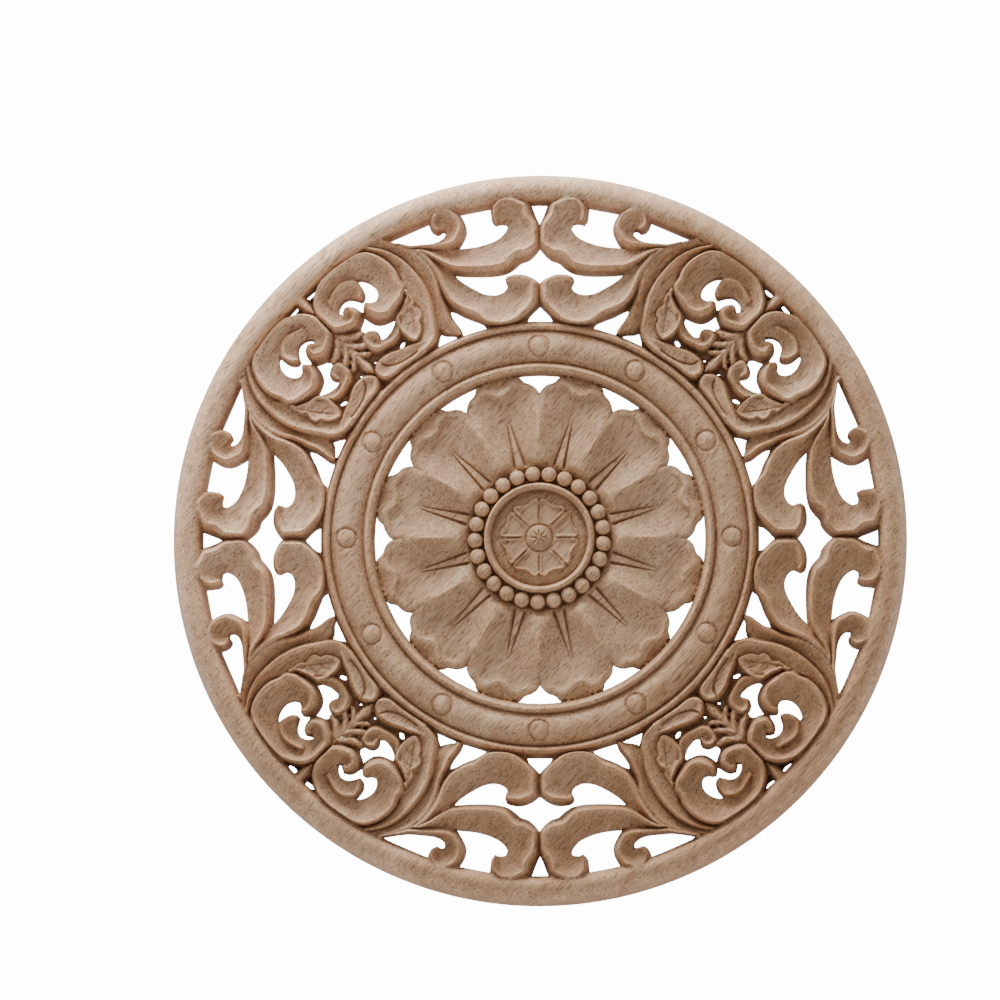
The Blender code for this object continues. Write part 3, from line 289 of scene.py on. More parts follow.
# band: circles of points, the lower line on each wall as a part of its slope's width, and
# how far the walls' edges stay clear of the axis, the diagonal and the openings
BAND_RINGS = (86.0, 87.0, 88.0, 144.3, 145.9, 147.4, 148.6, 149.5)
LOW_LINE = 0.4
AXIS_CLEAR, DIAGONAL_CLEAR, LINE_CLEAR = 0.5, 0.6, 0.7
SLOPE_CLEAR = 0.97  # part of its own distance that a slope's line keeps from the wall's edge
PROBE = 0.3  # step that tells the inner side of a wall from the outer one
# net of the band: its radii, and how far it stays clear of the axis and of the diagonal
BAND_NET, NET_AXIS, NET_DIAGONAL = (88.4, 143.6), 0.3, 0.5
# ring: circles of points on it and round each button, lines along the petals' lip
RING_RINGS = (68.4, 69.2, 70.2, 71.2, 72.1, 72.6, 84.0, 84.8)
BUTTON_RINGS = (3.0, 3.5, 4.0, 4.5, 4.95)
LIP_LINES = (57.6, 58.8, 59.4, 60.0, 60.8, 62.0)
LIP_NEAR, LIP_FAR = 0.4, 16.0  # ends of a lip's line, from the petal's middle
LIP_CLEAR, RING_CLEAR = 0.6, 0.5  # how far it stays clear of the opening and the ring
GROOVE_LEAST = 0.05  # least distance of a cut's line from the petal's middle
EDGE_SKIP = 0.9  # degrees of the ring's edge left out at the opening's corner
# net of the ring: its radii, and how far, in degrees, it stays clear of the sides
RING_NET, NET_TURN = (R_FLOWER + 0.4, 83.6), 0.3
# centre: circles by radius and number of points, the same on a bead by part of its radius,
# points between two beads by their distance from the beads' circle
CENTRE_RINGS = ((R_FLOWER, 8 * ARC), (23.0, 200), (22.3, 160), (21.4, 160), (20.3, 160),
                (19.5, 160), (18.8, 140), (6.2, 60), (5.6, 60), (4.9, 60))
BEAD_RINGS = ((1.03, 24), (0.99, 24), (0.93, 24), (0.8, 18), (0.55, 12), (0.25, 6))
NOOK_STEPS = (-3.1, -2.6, -2.0, -1.2, -0.4, 0.4, 1.2, 2.0, 2.6, 3.1)
ROSE_NET = 17.9  # radius of the finer net over the rosette
SEAM = 0.01  # points this close to a seam lie on it
SEAM_GAP = 0.02  # the same, where two sections are joined
MERGE, MERGE_BACK = 1e-4, 1e-5  # points closer than this are one, in a plan and on the back
SLIVER = 1e-4  # least area of a triangle
TINY = 1e-6  # keeps divisors above zero
CHUNK = 400  # points tested at a time
SHARP_BEND = 48  # degrees from which an edge is shaded sharp
BACK_LEVEL = 0.1  # points lower than this lie on the back

# Wood. Sizes of its marks are in millimetres: along the grain, into the wood, across.
WHITE, BLACK = (1, 1, 1), (0, 0, 0)
WOOD_DARK, WOOD_MID, WOOD_LIGHT = (0.39, 0.232, 0.13), (0.465, 0.29, 0.169), (0.545, 0.366, 0.223)
WOOD_WARM, WOOD_PORE = (0.42, 0.235, 0.125), (0.14, 0.065, 0.03)
WOOD_ROUGH, WOOD_SHINE = 0.62, 0.3
GRAIN_TURN = 48  # degrees of the grain, up to the right
TONE_SIZE, TONE_STOPS = (55, 9, 7), [(0.28, WOOD_DARK), (0.5, WOOD_MID), (0.72, WOOD_LIGHT)]
TINT_SIZE, TINT_STOPS = (70, 20, 18), [(0.48, BLACK), (0.75, (0.6, 0.6, 0.6))]
STREAK_SIZE = (9, 0.9, 0.7)
STREAK_STOPS = [(0.3, (0.58, 0.51, 0.44)), (0.52, WHITE), (0.75, (1.2, 1.2, 1.2))]
PORE_SIZE, PORE_STOPS = (6.0, 0.45, 0.4), [(0.33, WHITE), (0.39, BLACK)]
PORE_COVER = (0.85, 0.85, 0.85)
# tone of the glued staves with painted light over it, lighter at the upper left and darker at the lower
# right, across the grain
STAVE_TONE_AND_PAINTED_LIGHT = [(0.0, (1.34, 1.38, 1.5)), (0.25, (1.22, 1.24, 1.3)), (0.4, (1.03, 1.02, 1.02)),
          (0.41, (0.97, 0.96, 0.95)), (0.65, (1.06, 1.07, 1.08)), (0.7, (0.95, 0.92, 0.89)),
          (1.0, (0.91, 0.86, 0.81))]
RELIEF_REACH = 5  # steps of the mesh over which relief is judged
RELIEF_RANGE = 1.2  # deepest cut and highest crest that the painted shade and highlight tell apart
# painted shade: darker in the cuts; painted highlight: lighter on the crests
CUT_SHADE_CREST_HIGHLIGHT = [(0.0, (0.95, 0.9, 0.86)), (0.45, WHITE), (0.55, WHITE), (0.9, (1.28, 1.28, 1.26))]
WALL_END_GRAIN_AND_SHADE = [(0.1, (0.94, 0.89, 0.84)), (0.5, WHITE)]  # darker end grain and painted shade on the cut walls, by how far a face turns to the front
BUMP_STRENGTH, BUMP_DEPTH = 0.5, 0.3

# Studio, in metres. A light has a name, watts, a diameter and a place.
FLOOR_R, FLOOR_LEVEL, FLOOR_ROUGH, FLOOR_GREY = 2.4, -0.9, 0.7, (0.7, 0.7, 0.7, 1)
AMBIENT, BACKDROP = (0.05, 1.0), 14.0  # ambient from straight below and straight above
LIGHTS = [("overhead", 12.5, 0.5, (-0.25, -0.24, 0.8)), ("back_top", 22.0, 1.0, (-0.1, 0.6, 1.1)),
          ("back_left", 8.0, 1.0, (-1.1, 0.5, 0.0)), ("back_right", 9.0, 1.0, (1.1, 0.5, 0.0))]
# camera: degrees to the right and above, distance, width of the view there; picture's shift
CAM_TURN, CAM_RISE, CAM_AWAY, FRAME_WIDE = 2.3, -6.0, 3.4, 0.4092
CAM_SHIFT, SENSOR = (-0.0402, 0.0403), 36


def steps_between(a, b, step):
    """Number of equal steps, of about the given length, between two points."""
    return max(1, int(math.ceil(np.hypot(*(b[:2] - a[:2])) / step)))


def spline(points, step):
    """Centripetal Catmull-Rom curve through the points, cut at about the given step."""
    p = np.array(points, float)
    if len(p) < 2:
        return p
    if len(p) == 2:
        n = steps_between(p[0], p[1], step)
        return p[0] + (p[1] - p[0]) * np.linspace(0, 1, n + 1)[:, None]
    p = np.vstack([2 * p[0] - p[1], p, 2 * p[-1] - p[-2]])
    curve = []
    for a, b, c, d in zip(p, p[1:], p[2:], p[3:]):
        knots = [0.0]
        for near, far in ((a, b), (b, c), (c, d)):
            knots.append(knots[-1] + max(np.hypot(*(far[:2] - near[:2])), TINY) ** 0.5)
        k0, k1, k2, k3 = knots
        for k in np.linspace(k1, k2, steps_between(b, c, step) + 1)[:-1]:
            ab = a + (b - a) * (k - k0) / (k1 - k0)
            bc = b + (c - b) * (k - k1) / (k2 - k1)
            cd = c + (d - c) * (k - k2) / (k3 - k2)
            abc = ab + (bc - ab) * (k - k0) / (k2 - k0)
            bcd = bc + (cd - bc) * (k - k1) / (k3 - k1)
            curve.append(abc + (bcd - abc) * (k - k1) / (k2 - k1))
    curve.append(p[-2])
    return np.array(curve)


def smooth_loop(points, step):
    """Closed curve through the points; the sharpest bends stay corners."""
    p = np.array(points, float)
    n = len(p)
    back, on = p - np.roll(p, 1, 0), np.roll(p, -1, 0) - p
    cos = (back * on).sum(1) / (np.hypot(*back.T) * np.hypot(*on.T))
    corners = [i for i in range(n) if cos[i] < math.cos(math.radians(CORNER))]
    if not corners:
        return spline(closed_line(p), step)[:-1]
    loop = []
    for start, stop in zip(corners, corners[1:] + corners[:1]):
        count = (stop - start) % n or n
        loop.append(spline(p[[(start + i) % n for i in range(count + 1)]], step)[:-1])
    return np.vstack(loop)


def closed_line(loop):
    return np.vstack([loop, loop[:1]])


def polar(r, turn):
    """Point at a radius and at an angle clockwise from +y."""
    return r * math.sin(turn), r * math.cos(turn)


def arc(r, start, end, facets):
    """Points on a circle; angles in degrees clockwise from +y."""
    t = np.radians(np.linspace(start, end, facets + 1))
    return np.stack([r * np.sin(t), r * np.cos(t)], 1)


def spoke(degrees, stops):
    """Points on a radius, through all the stops, at about the net's spacing."""
    radii = [stops[0]]
    for a, b in zip(stops, stops[1:]):
        radii += list(np.linspace(a, b, max(1, round((b - a) / NET)) + 1)[1:])
    return [polar(r, math.radians(degrees)) for r in radii]


def normals(line):
    """Unit vectors to the left of a line, at each of its points."""
    d = np.gradient(line, axis=0)
    return np.stack([-d[:, 1], d[:, 0]], 1) / np.hypot(*d.T)[:, None]


def nearest(pts, line):
    """Distance from each point to a polyline, and the line's extra columns there."""
    starts, sides = line[:-1], line[1:] - line[:-1]
    run = sides[:, :2]
    square = np.maximum((run ** 2).sum(1), TINY ** 2)
    part = ((pts[:, None, :] - starts[None, :, :2]) * run[None]).sum(2) / square
    part = np.clip(part, 0, 1)
    foot = starts[None, :, :2] + part[..., None] * run[None]
    dist = np.hypot(*(pts[:, None, :] - foot).transpose(2, 0, 1))
    k = dist.argmin(1)
    i = np.arange(len(pts))
    return dist[i, k], starts[k, 2:] + part[i, k][:, None] * sides[k, 2:]


def even_odd(pts, starts, ends):
    """Which points lie in the region bounded by the straight edges from starts to ends."""
    (x0, y0), (x1, y1) = starts.T, ends.T
    dy = np.where(y1 == y0, TINY ** 2, y1 - y0)
    result = np.zeros(len(pts), bool)
    for i in range(0, len(pts), CHUNK):
        x, y = pts[i:i + CHUNK, :1], pts[i:i + CHUNK, 1:]
        hit = ((y0 > y) != (y1 > y)) & (x < x0 + (y - y0) * (x1 - x0) / dy)
        result[i:i + CHUNK] = hit.sum(1) % 2 == 1
    return result


def inside(pts, loop):
    """Which points lie inside a closed loop."""
    return even_odd(pts, loop, np.roll(loop, -1, 0))


def stretches(points, wanted, least):
    """The unbroken wanted stretches of a line that have more than the least number of points."""
    marks = np.flatnonzero(np.diff(np.concatenate([[0], wanted.astype(int), [0]])))
    return [points[a:b] for a, b in zip(marks[::2], marks[1::2]) if b - a > least]


def smooth(start, end, x):
    """Soft step from 0 at the start to 1 at the end."""
    t = np.clip((x - start) / (end - start), 0, 1)
    return t * t * (3 - 2 * t)


def v_cut(dist, half):
    """Section of a V cut: 1 along its middle, 0 from its half width on."""
    return np.maximum(1 - dist / half, 0)


def soft(dist, half):
    """Section of a soft rounded line: 1 along its middle, falling off over its half width."""
    return np.exp(-(dist / half) ** 2)


def off_ray(turn, count):
    """Angle from the nearest of a number of equally spaced rays, the first of them at 0."""
    step = 2 * math.pi / count
    return np.abs((turn + step / 2) % step - step / 2)


def height_at(profile, r):
    """Height of a turned profile at a radius."""
    return np.interp(r, *np.array(profile).T)


def leaf_height(pts, leaf):
    """Steep rounded wall up to the crest, then a scoop down to the hollow edge."""
    top, hollow = leaf["top"], leaf["hollow_line"]
    to_wall, wall = nearest(pts, leaf["wall_line"])
    width, foot = wall.T
    if len(hollow) > 1:
        to_hollow, low = nearest(pts, hollow)
        low = low[:, 0]
    else:
        to_hollow, low = np.full(len(pts), SCOOP_REACH), hollow[0, 2]
    up = np.clip(to_wall / width, 0, 1)
    slope = foot + (top - foot) * (1 - (1 - up) ** WALL_CURVE)
    past = to_wall - width
    down = np.clip(past / (np.maximum(past, 0) + to_hollow + TINY), 0, 1)
    scoop = top - (top - low) * (1 - (1 - down) ** 2)
    within = np.where(to_wall < width, slope, scoop)
    beyond = np.where(to_wall <= to_hollow, foot - STEEP * to_wall, low - STEEP * to_hollow)
    return np.where(inside(pts, leaf["outline"]), within, beyond)


def stroke_height(pts, stroke):
    """Half-round finger along its line, and nothing beside it."""
    dist, half = nearest(pts, stroke["curve"])
    half = half[:, 0]
    section = np.sqrt(np.maximum(1 - (dist / half) ** 2, 0))
    return np.where(dist < half, STROKE_FOOT + (stroke["top"] - STROKE_FOOT) * section, 0)


def band_height(pts):
    """Height of the openwork band with the rim and the outer bead, in the frame of an eighth."""
    x, y = np.abs(pts[:, 0]), pts[:, 1]
    p = np.stack([x, y], 1)
    r = np.hypot(x, y)
    h = np.full(len(p), FLOOR)
    for leaf in LEAVES.values():
        h = np.maximum(h, leaf_height(p, leaf))
    for stroke in STROKES.values():
        h = np.maximum(h, stroke_height(p, stroke))
    for leaf in LEAVES.values():
        dist, wall = nearest(p, leaf["wall_line"])
        foot = wall[:, 1]
        lies_on = smooth(*HIGH_FOOT, foot) * smooth(*CLEAR_STEP, leaf["top"] - foot)
        h = h - EDGE_CUT * v_cut(dist, EDGE_HALF) * lies_on
    for points, depth, half in CUTS:
        h = h - depth * v_cut(nearest(p, spline(points, FINE))[0], half)
    (rim_r, rim_foot), (bead_r, bead_foot) = RIM[0], RING[-1]
    h = np.maximum(h, np.where(r > rim_r, height_at(RIM, r), rim_foot - STEEP * (rim_r - r)))
    bead = height_at(RING, r)
    h = np.maximum(h, np.where(r < bead_r, bead, bead_foot - STEEP * (r - bead_r)))
    return np.where(r < R_SPLIT + SEAM_GAP, bead, h)


def lip_wave(x):
    """How far the lip near the tip lies further out at a distance from the petal's middle."""
    return LIP_WAVE * (smooth(*LIP_OUT, x) - LIP_RETURN * smooth(*LIP_BACK, x))


def groove(r):
    """Part of the way along a petal's cuts, their distance from its middle and half width."""
    along = (r - GROOVE_START) / (GROOVE_END - GROOVE_START)
    q = np.clip(along, 0, 1)
    return along, GROOVE_AT - GROOVE_CLOSES * q, GROOVE_WIDE - GROOVE_NARROWS * q


def petal_height(r, turn):
    """turn is 0 on the line between two petals and half a petal on its middle."""
    half = math.pi / PETALS
    x = r * np.sin(half - turn)                    # distance from the petal's middle line
    mid = height_at(PETAL_MID, r - lip_wave(x) * smooth(*LIP_SETS_IN, r))
    ridge = height_at(PETAL_RIDGE, r)
    away = np.clip(1 - turn / half, 0, 1)
    rise = 0.5 - 0.5 * np.cos(math.pi * away)
    rise = rise + (away ** RIDGE_POWER - rise) * smooth(*RIDGE_SHARPENS, r)
    h = mid + (ridge - mid) * rise
    # the pair of V cuts that meet towards the tip, with a fine ridge between them
    along, place, width = groove(r)
    fade = np.clip(1 - along, 0, 1) ** GROOVE_FADE
    fade = fade * smooth(R_FLOWER, GROOVE_START + GROOVE_RUN_IN, r)
    h = h - GROOVE_DEEP * fade * v_cut(np.abs(x - place), width)
    h = h + GROOVE_RIDGE * fade * smooth(place, place - width, x)
    # crease on the line between two petals, deeper towards their notch
    return h - CREASE_DEEP * v_cut(r * np.sin(turn), CREASE_HALF) * smooth(*CREASE_SETS_IN, r)


def ring_height(pts):
    """Ring, buttons and petals; pts in the frame of a button, y outwards through it."""
    r = np.hypot(*pts.T)
    turn = np.abs(np.arctan2(*pts.T))
    dist = np.hypot(pts[:, 0], pts[:, 1] - BUTTON_AT)
    ring = height_at(RING, r) - MOAT_DEEP * smooth(MOAT_HALF, 0, np.abs(dist - MOAT_R))
    button = np.minimum(ring + BUTTON_RISE, BUTTON_TOP - BUTTON_FALL * (dist / BUTTON_R) ** 3)
    ring = np.where(dist < BUTTON_R, button, ring)
    return np.where(r >= R_RING_IN, ring, petal_height(r, turn))


def rosette_height(r, turn):
    """Boss with the small rosette on it: outlined petals, a pair of lines between each two."""
    off_notch = off_ray(turn, ROSE_PETALS)
    degrees = np.degrees(off_notch)
    wave = ROSE_WAVE * np.cos(np.radians(degrees - WAVE_AT) * 360 / WAVE_LONG)
    past = r - (ROSE_R + wave - NOTCH_DEEP * soft(degrees, NOTCH_HALF))
    petals = ROSE_GROUND + ROSE_STEP * smooth(*ROSE_SLOPE, past)
    h = np.where((r > ROSE_IN) & (r < ROSE_OUT), petals, height_at(BOSS, r))
    h = h + OUTLINE_HIGH * soft(past + OUTLINE_HALF, OUTLINE_HALF) * (r > ROSE_IN)
    side = r * np.sin(off_notch)
    fade = smooth(*VEIN_STARTS, r) * smooth(*VEIN_ENDS, past)
    h = h + VEIN_HIGH * soft(side - VEIN_AT, VEIN_HALF) * fade
    return h - VEIN_CUT * soft(side, VEIN_CUT_HALF) * fade


def centre_height(pts):
    """Boss and rosette, the star on its button, and the beads round them."""
    r = np.hypot(*pts.T)
    turn = np.arctan2(*pts.T)
    h = rosette_height(r, turn)
    star = soft(r * np.sin(off_ray(turn, STAR_RAYS)), STAR_HALF)
    star = star * smooth(STAR_R, STAR_R - STAR_FADE, r)
    h = h - STAR_DEEP * star * smooth(*STAR_EYE, r)
    for x, y in bead_centres():
        dist = np.hypot(pts[:, 0] - x, pts[:, 1] - y)
        ball = BEAD_BASE + np.sqrt(np.maximum(BEAD_R ** 2 - dist ** 2, 0))
        h = np.maximum(h, np.where(dist < BEAD_R, ball, 0))
    return h


def bead_turn(k):
    """Angle of a bead clockwise from +y; a half more lies between it and the next."""
    return math.radians(180 + BEAD_TURN + 360 / BEADS * k)


def bead_centres():
    return [polar(BEAD_AT, bead_turn(k)) for k in range(BEADS)]


class Plan:
    """Points and fixed lines of a flat region, triangulated and then raised."""

    def __init__(self):
        self.points, self.lines = [], []

    def add(self, line, closed=False, join=True):
        """Points, and unless join is off, the line through them."""
        base = len(self.points)
        self.points += [(float(x), float(y)) for x, y in line]
        if join:
            self.lines += [(base + i, base + i + 1) for i in range(len(line) - 1)]
        if closed:
            self.lines.append((base + len(line) - 1, base))

    def net(self, box, wanted, gap, clear):
        """Staggered rows of the wanted points of a box, clear of the points already there."""
        x0, x1, y0, y1 = box
        rows = np.arange(y0, y1, gap * ROW)
        new = np.array([(x + gap / 2 * (j % 2), y) for j, y in enumerate(rows)
                        for x in np.arange(x0, x1, gap)])
        new = new[wanted(new)]
        have = np.array(self.points)
        free = np.ones(len(new), bool)
        for i in range(0, len(new), CHUNK):
            apart = new[i:i + CHUNK, None] - have[None]
            free[i:i + CHUNK] = (apart ** 2).sum(2).min(1) > clear ** 2
        self.add(new[free], join=False)

    def triangles(self, keep):
        """The points, and the triangles whose centres pass the keep test."""
        found = delaunay_2d_cdt([Vector(q) for q in self.points], self.lines, [], 0, MERGE)
        points = np.array([tuple(q) for q in found[0]])
        faces = np.array([face for face in found[2] if len(face) == 3])
        a, b, c = points[faces].transpose(1, 0, 2)
        area = np.abs((b - a)[:, 0] * (c - a)[:, 1] - (b - a)[:, 1] * (c - a)[:, 0]) / 2
        return points, faces[keep(points[faces].mean(1)) & (area > SLIVER)]


def draw_curves():
    """Dense curves of the leaves and strokes, for the height functions and the plan."""
    for leaf in LEAVES.values():
        wall, hollow = spline(leaf["wall"], FINE), spline(leaf["hollow"], FINE)
        leaf["wall_line"], leaf["hollow_line"] = wall, hollow
        leaf["outline"] = np.vstack([wall[:, :2], hollow[::-1, :2]])
    for stroke in STROKES.values():
        stroke["curve"] = spline(stroke["line"], FINE)


def slope_lines(leaf, part):
    """Lines along the wall at a part of the width of its slope; 1 is the crest."""
    edge, width = leaf["wall_line"][:, :2], leaf["wall_line"][:, 2:3]
    inwards = normals(edge)
    if inside(edge + inwards * PROBE, leaf["outline"]).mean() < 0.5:
        inwards = -inwards
    line = edge + inwards * width * part
    clear = nearest(line, edge)[0] > SLOPE_CLEAR * part * width[:, 0]
    return stretches(line, clear & inside(line, leaf["outline"]), least=2)


def band_plan():
    """One eighth of the openwork band with the rim and the outer bead."""
    plan = Plan()
    openings = [smooth_loop(points, FINE) for points in OPENINGS.values()]
    outline = np.vstack([[(0, R_SPLIT)], [(0, R_OUT)], arc(R_OUT, 0, 45, ARC)[1:],
                         arc(R_SPLIT, 45, 0, ARC)[:-1]])
    for loop in [outline] + openings:
        plan.add(loop, closed=True)
    for r in BAND_RINGS:
        plan.add(arc(r, 0, 45, ARC), join=False)
    ends = [math.hypot(x, y) for points in OPENINGS.values() for x, y in points if x == y]
    plan.add(spoke(0, [R_SPLIT, *BAND_RINGS, R_OUT]))
    plan.add(spoke(45, sorted([R_SPLIT, *BAND_RINGS, R_OUT, *ends])))
    for leaf in LEAVES.values():
        for line in slope_lines(leaf, 1.0) + slope_lines(leaf, LOW_LINE):
            plan.add(line)
        edge = leaf["wall_line"][:, :2]
        free = (edge[:, 0] > AXIS_CLEAR) & (edge[:, 1] - edge[:, 0] > DIAGONAL_CLEAR)
        for loop in openings:
            free &= nearest(edge, closed_line(loop))[0] > LINE_CLEAR
        for line in stretches(edge, free, least=4):
            plan.add(line)
    for points, _, half in CUTS:
        line = spline(points, FINE)
        aside = normals(line) * half
        for edge in (line, line + aside, line - aside):
            plan.add(edge)

    def solid(pts):
        result = inside(pts, outline)
        for loop in openings:
            result &= ~inside(pts, loop)
        return result

    def in_net(pts):
        x, y = pts.T
        r = np.hypot(x, y)
        low, high = BAND_NET
        return solid(pts) & (r > low) & (r < high) & (x > NET_AXIS) & (y - x > NET_DIAGONAL)
    plan.net((0.5, 106, 60, 144), in_net, gap=NET, clear=0.55)
    points, faces = plan.triangles(solid)
    return points, faces, band_height(points)


def petal_opening():
    """Opening beside a petal's tip, in the frame of a button."""
    half = math.pi / PETALS
    side = [polar(math.hypot(x, y), max(half - math.atan2(x, y), 0)) for x, y in PETAL_EDGE]
    side[0] = (0.0, math.hypot(*PETAL_EDGE[0]))
    tip, flank = side[:PETAL_CORNER + 1], side[PETAL_CORNER:]
    end = math.degrees(math.atan2(*side[-1]))
    return np.vstack([spline(tip, FINE)[:-1], spline(flank, FINE)[:-1],
                      arc(R_RING_IN, end, 0, facets=12)])


def lip_line(r_middle):
    """Line along the wavy lip of a petal, in the frame of a button."""
    line = []
    for x in np.arange(LIP_NEAR, LIP_FAR, FINE):
        r = r_middle + lip_wave(x)
        line.append(polar(r, math.pi / PETALS - math.asin(x / r)))
    return np.array([q for q in line if q[0] > LIP_NEAR])


def groove_line(side):
    """Line along a petal's cut: its bottom at side 0, its edges at -1 and 1."""
    middle = math.radians(180 / PETALS)
    line = []
    for r in np.arange(GROOVE_START, GROOVE_END, FINE):
        _, place, width = groove(r)
        x = place + side * width
        if x > GROOVE_LEAST:
            line.append((r * math.sin(middle) - x * math.cos(middle),
                         r * math.cos(middle) + x * math.sin(middle)))
    return line


def ring_plan():
    """Half a button's sector: ring, button and half a petal, from the beads to the outer bead."""
    plan = Plan()
    half = 180 / PETALS
    facets = ARC // 3
    plan.add(arc(R_SPLIT, 0, half, facets))
    plan.add(arc(R_FLOWER, 0, half, facets))
    for r in RING_RINGS:
        plan.add(arc(r, 0, half, facets), join=False)
    plan.add(spoke(half, [R_FLOWER, *RING_RINGS, R_SPLIT]))
    button_stops = [BUTTON_AT + side * r for r in BUTTON_RINGS for side in (-1, 1)]
    plan.add(spoke(0, sorted([R_FLOWER, math.hypot(*PETAL_EDGE[0]), R_RING_IN, *RING_RINGS,
                              *button_stops, R_SPLIT])))
    opening = petal_opening()
    plan.add(opening, closed=True)
    last = next(q for q in opening[::-1] if np.hypot(*q) < R_RING_IN - SEAM)
    plan.add(arc(R_RING_IN, math.degrees(math.atan2(*last)) + EDGE_SKIP, half, facets=12))
    for r_middle in LIP_LINES:
        line = lip_line(r_middle)
        free = nearest(line, closed_line(opening))[0] > LIP_CLEAR
        free &= ~inside(line, opening) & (np.hypot(*line.T) < R_RING_IN - RING_CLEAR)
        for run in stretches(line, free, least=2):
            plan.add(run)
    for r in BUTTON_RINGS:
        plan.add(arc(r, 0, 180, facets=20) + (0, BUTTON_AT))
    for side in (-1, 0, 1):
        plan.add(groove_line(side))
    sector = np.vstack([arc(R_SPLIT, 0, half, facets), arc(R_FLOWER, half, 0, facets)])

    def solid(pts):
        return inside(pts, sector) & ~inside(pts, opening)

    def in_net(pts):
        t = np.degrees(np.arctan2(*pts.T))
        r = np.hypot(*pts.T)
        low, high = RING_NET
        return solid(pts) & (t > NET_TURN) & (t < half - NET_TURN) & (r > low) & (r < high)
    plan.net((0.3, 24, 28, 86), in_net, gap=NET, clear=0.5)
    points, faces = plan.triangles(solid)
    return points, faces, ring_height(points)


def centre_plan():
    """The whole disc within the petals: beads, boss and rosette."""
    plan = Plan()
    for r, count in CENTRE_RINGS:
        plan.add(arc(r, 0, 360, count)[:-1], closed=True)
    for x, y in bead_centres():
        for part, count in BEAD_RINGS:
            plan.add(arc(BEAD_R * part, 0, 360, count)[:-1] + (x, y), closed=True)
        plan.add([(x, y)])
    for k in range(BEADS):
        for step in NOOK_STEPS:
            plan.add([polar(BEAD_AT + step, bead_turn(k + 0.5))])
    plan.net((-ROSE_NET, ROSE_NET, -ROSE_NET, ROSE_NET),
             lambda pts: np.hypot(*pts.T) < ROSE_NET, gap=0.42, clear=0.25)
    points, faces = plan.triangles(lambda pts: np.hypot(*pts.T) < R_FLOWER)
    return points, faces, centre_height(points)


def copies(points, faces, heights, turns, mirrors, start):
    """Turned and mirrored copies of a piece of surface; angles clockwise from the top."""
    all_points, all_faces = [], []
    for k in range(turns):
        a = math.radians(start + 360 / turns * k)
        c, s = math.cos(a), math.sin(a)
        for mirror in mirrors:
            x, y = points[:, 0] * mirror, points[:, 1]
            order = faces if mirror > 0 else faces[:, ::-1]
            all_faces.append(order + len(all_points) * len(points))
            all_points.append(np.stack([x * c + y * s, -heights, -x * s + y * c], 1))
    return np.vstack(all_points), np.vstack(all_faces)


def close_back(bm):
    """Straight walls from every open edge to the back, and the flat back between them."""
    rim = [edge for edge in bm.edges if len(edge.link_faces) == 1]
    number = {}
    for edge in rim:
        for vert in edge.verts:
            number.setdefault(vert, len(number))
    flat = np.array([(vert.co.x, vert.co.z) for vert in number]) / MM
    sides = [(number[edge.verts[0]], number[edge.verts[1]]) for edge in rim]
    found = delaunay_2d_cdt([Vector(q) for q in flat], sides, [], 0, MERGE_BACK)
    points = np.array([tuple(q) for q in found[0]])
    faces = np.array(found[2])
    solid = even_odd(points[faces].mean(1), *flat[np.array(sides)].transpose(1, 0, 2))
    back = [bm.verts.new((x * MM, 0.0, z * MM)) for x, z in flat]
    source = [origins[0] for origins in found[3]]
    for face in faces[solid]:
        bm.faces.new([back[source[i]] for i in face])
    for edge in rim:
        a, b = edge.verts
        bm.faces.new([a, b, back[number[b]], back[number[a]]])


def carving():
    """One closed mesh: the carved face, the cut walls of the openings and the flat back."""
    draw_curves()
    bm = bmesh.new()
    # each surface with the number of its turns, its mirrors and the angle of the first copy
    for surface, turns, mirrors, start in ((band_plan(), 4, (1, -1), 45.0),
                                           (ring_plan(), PETALS, (1, -1), 0.0),
                                           (centre_plan(), 1, (1,), 0.0)):
        points, faces = copies(*surface, turns, mirrors, start)
        verts = [bm.verts.new(q * MM) for q in points]
        for face in faces:
            bm.faces.new([verts[i] for i in face])
    bmesh.ops.remove_doubles(bm, verts=bm.verts, dist=SEAM_GAP * MM)
    close_back(bm)
    bmesh.ops.recalc_face_normals(bm, faces=bm.faces)
    mesh = bpy.data.meshes.new("carving")
    bm.to_mesh(mesh)
    if bm.calc_volume(signed=True) < 0:
        mesh.flip_normals()
    bm.free()
    add_relief(mesh)
    mesh.shade_smooth()
    mesh.set_sharp_from_angle(angle=math.radians(SHARP_BEND))
    return mesh


def add_relief(mesh):
    """Point attribute: how far each point lies over (+) or under (-) its surroundings, in mm."""
    co = np.empty(len(mesh.vertices) * 3)
    mesh.vertices.foreach_get("co", co)
    high = -co.reshape(-1, 3)[:, 1] / MM
    ends = np.empty(len(mesh.edges) * 2, int)
    mesh.edges.foreach_get("vertices", ends)
    a, b = ends.reshape(-1, 2).T
    on_face = (high[a] > BACK_LEVEL) & (high[b] > BACK_LEVEL)    # neither on a wall nor on the back
    a, b = a[on_face], b[on_face]
    count = np.bincount(np.concatenate([a, b]), minlength=len(high)) + 1.0
    mean = high.copy()
    for _ in range(RELIEF_REACH):
        total = mean + np.bincount(a, mean[b], len(high)) + np.bincount(b, mean[a], len(high))
        mean = total / count
    relief = mesh.attributes.new("relief", "FLOAT", "POINT")
    relief.data.foreach_set("value", high - mean)


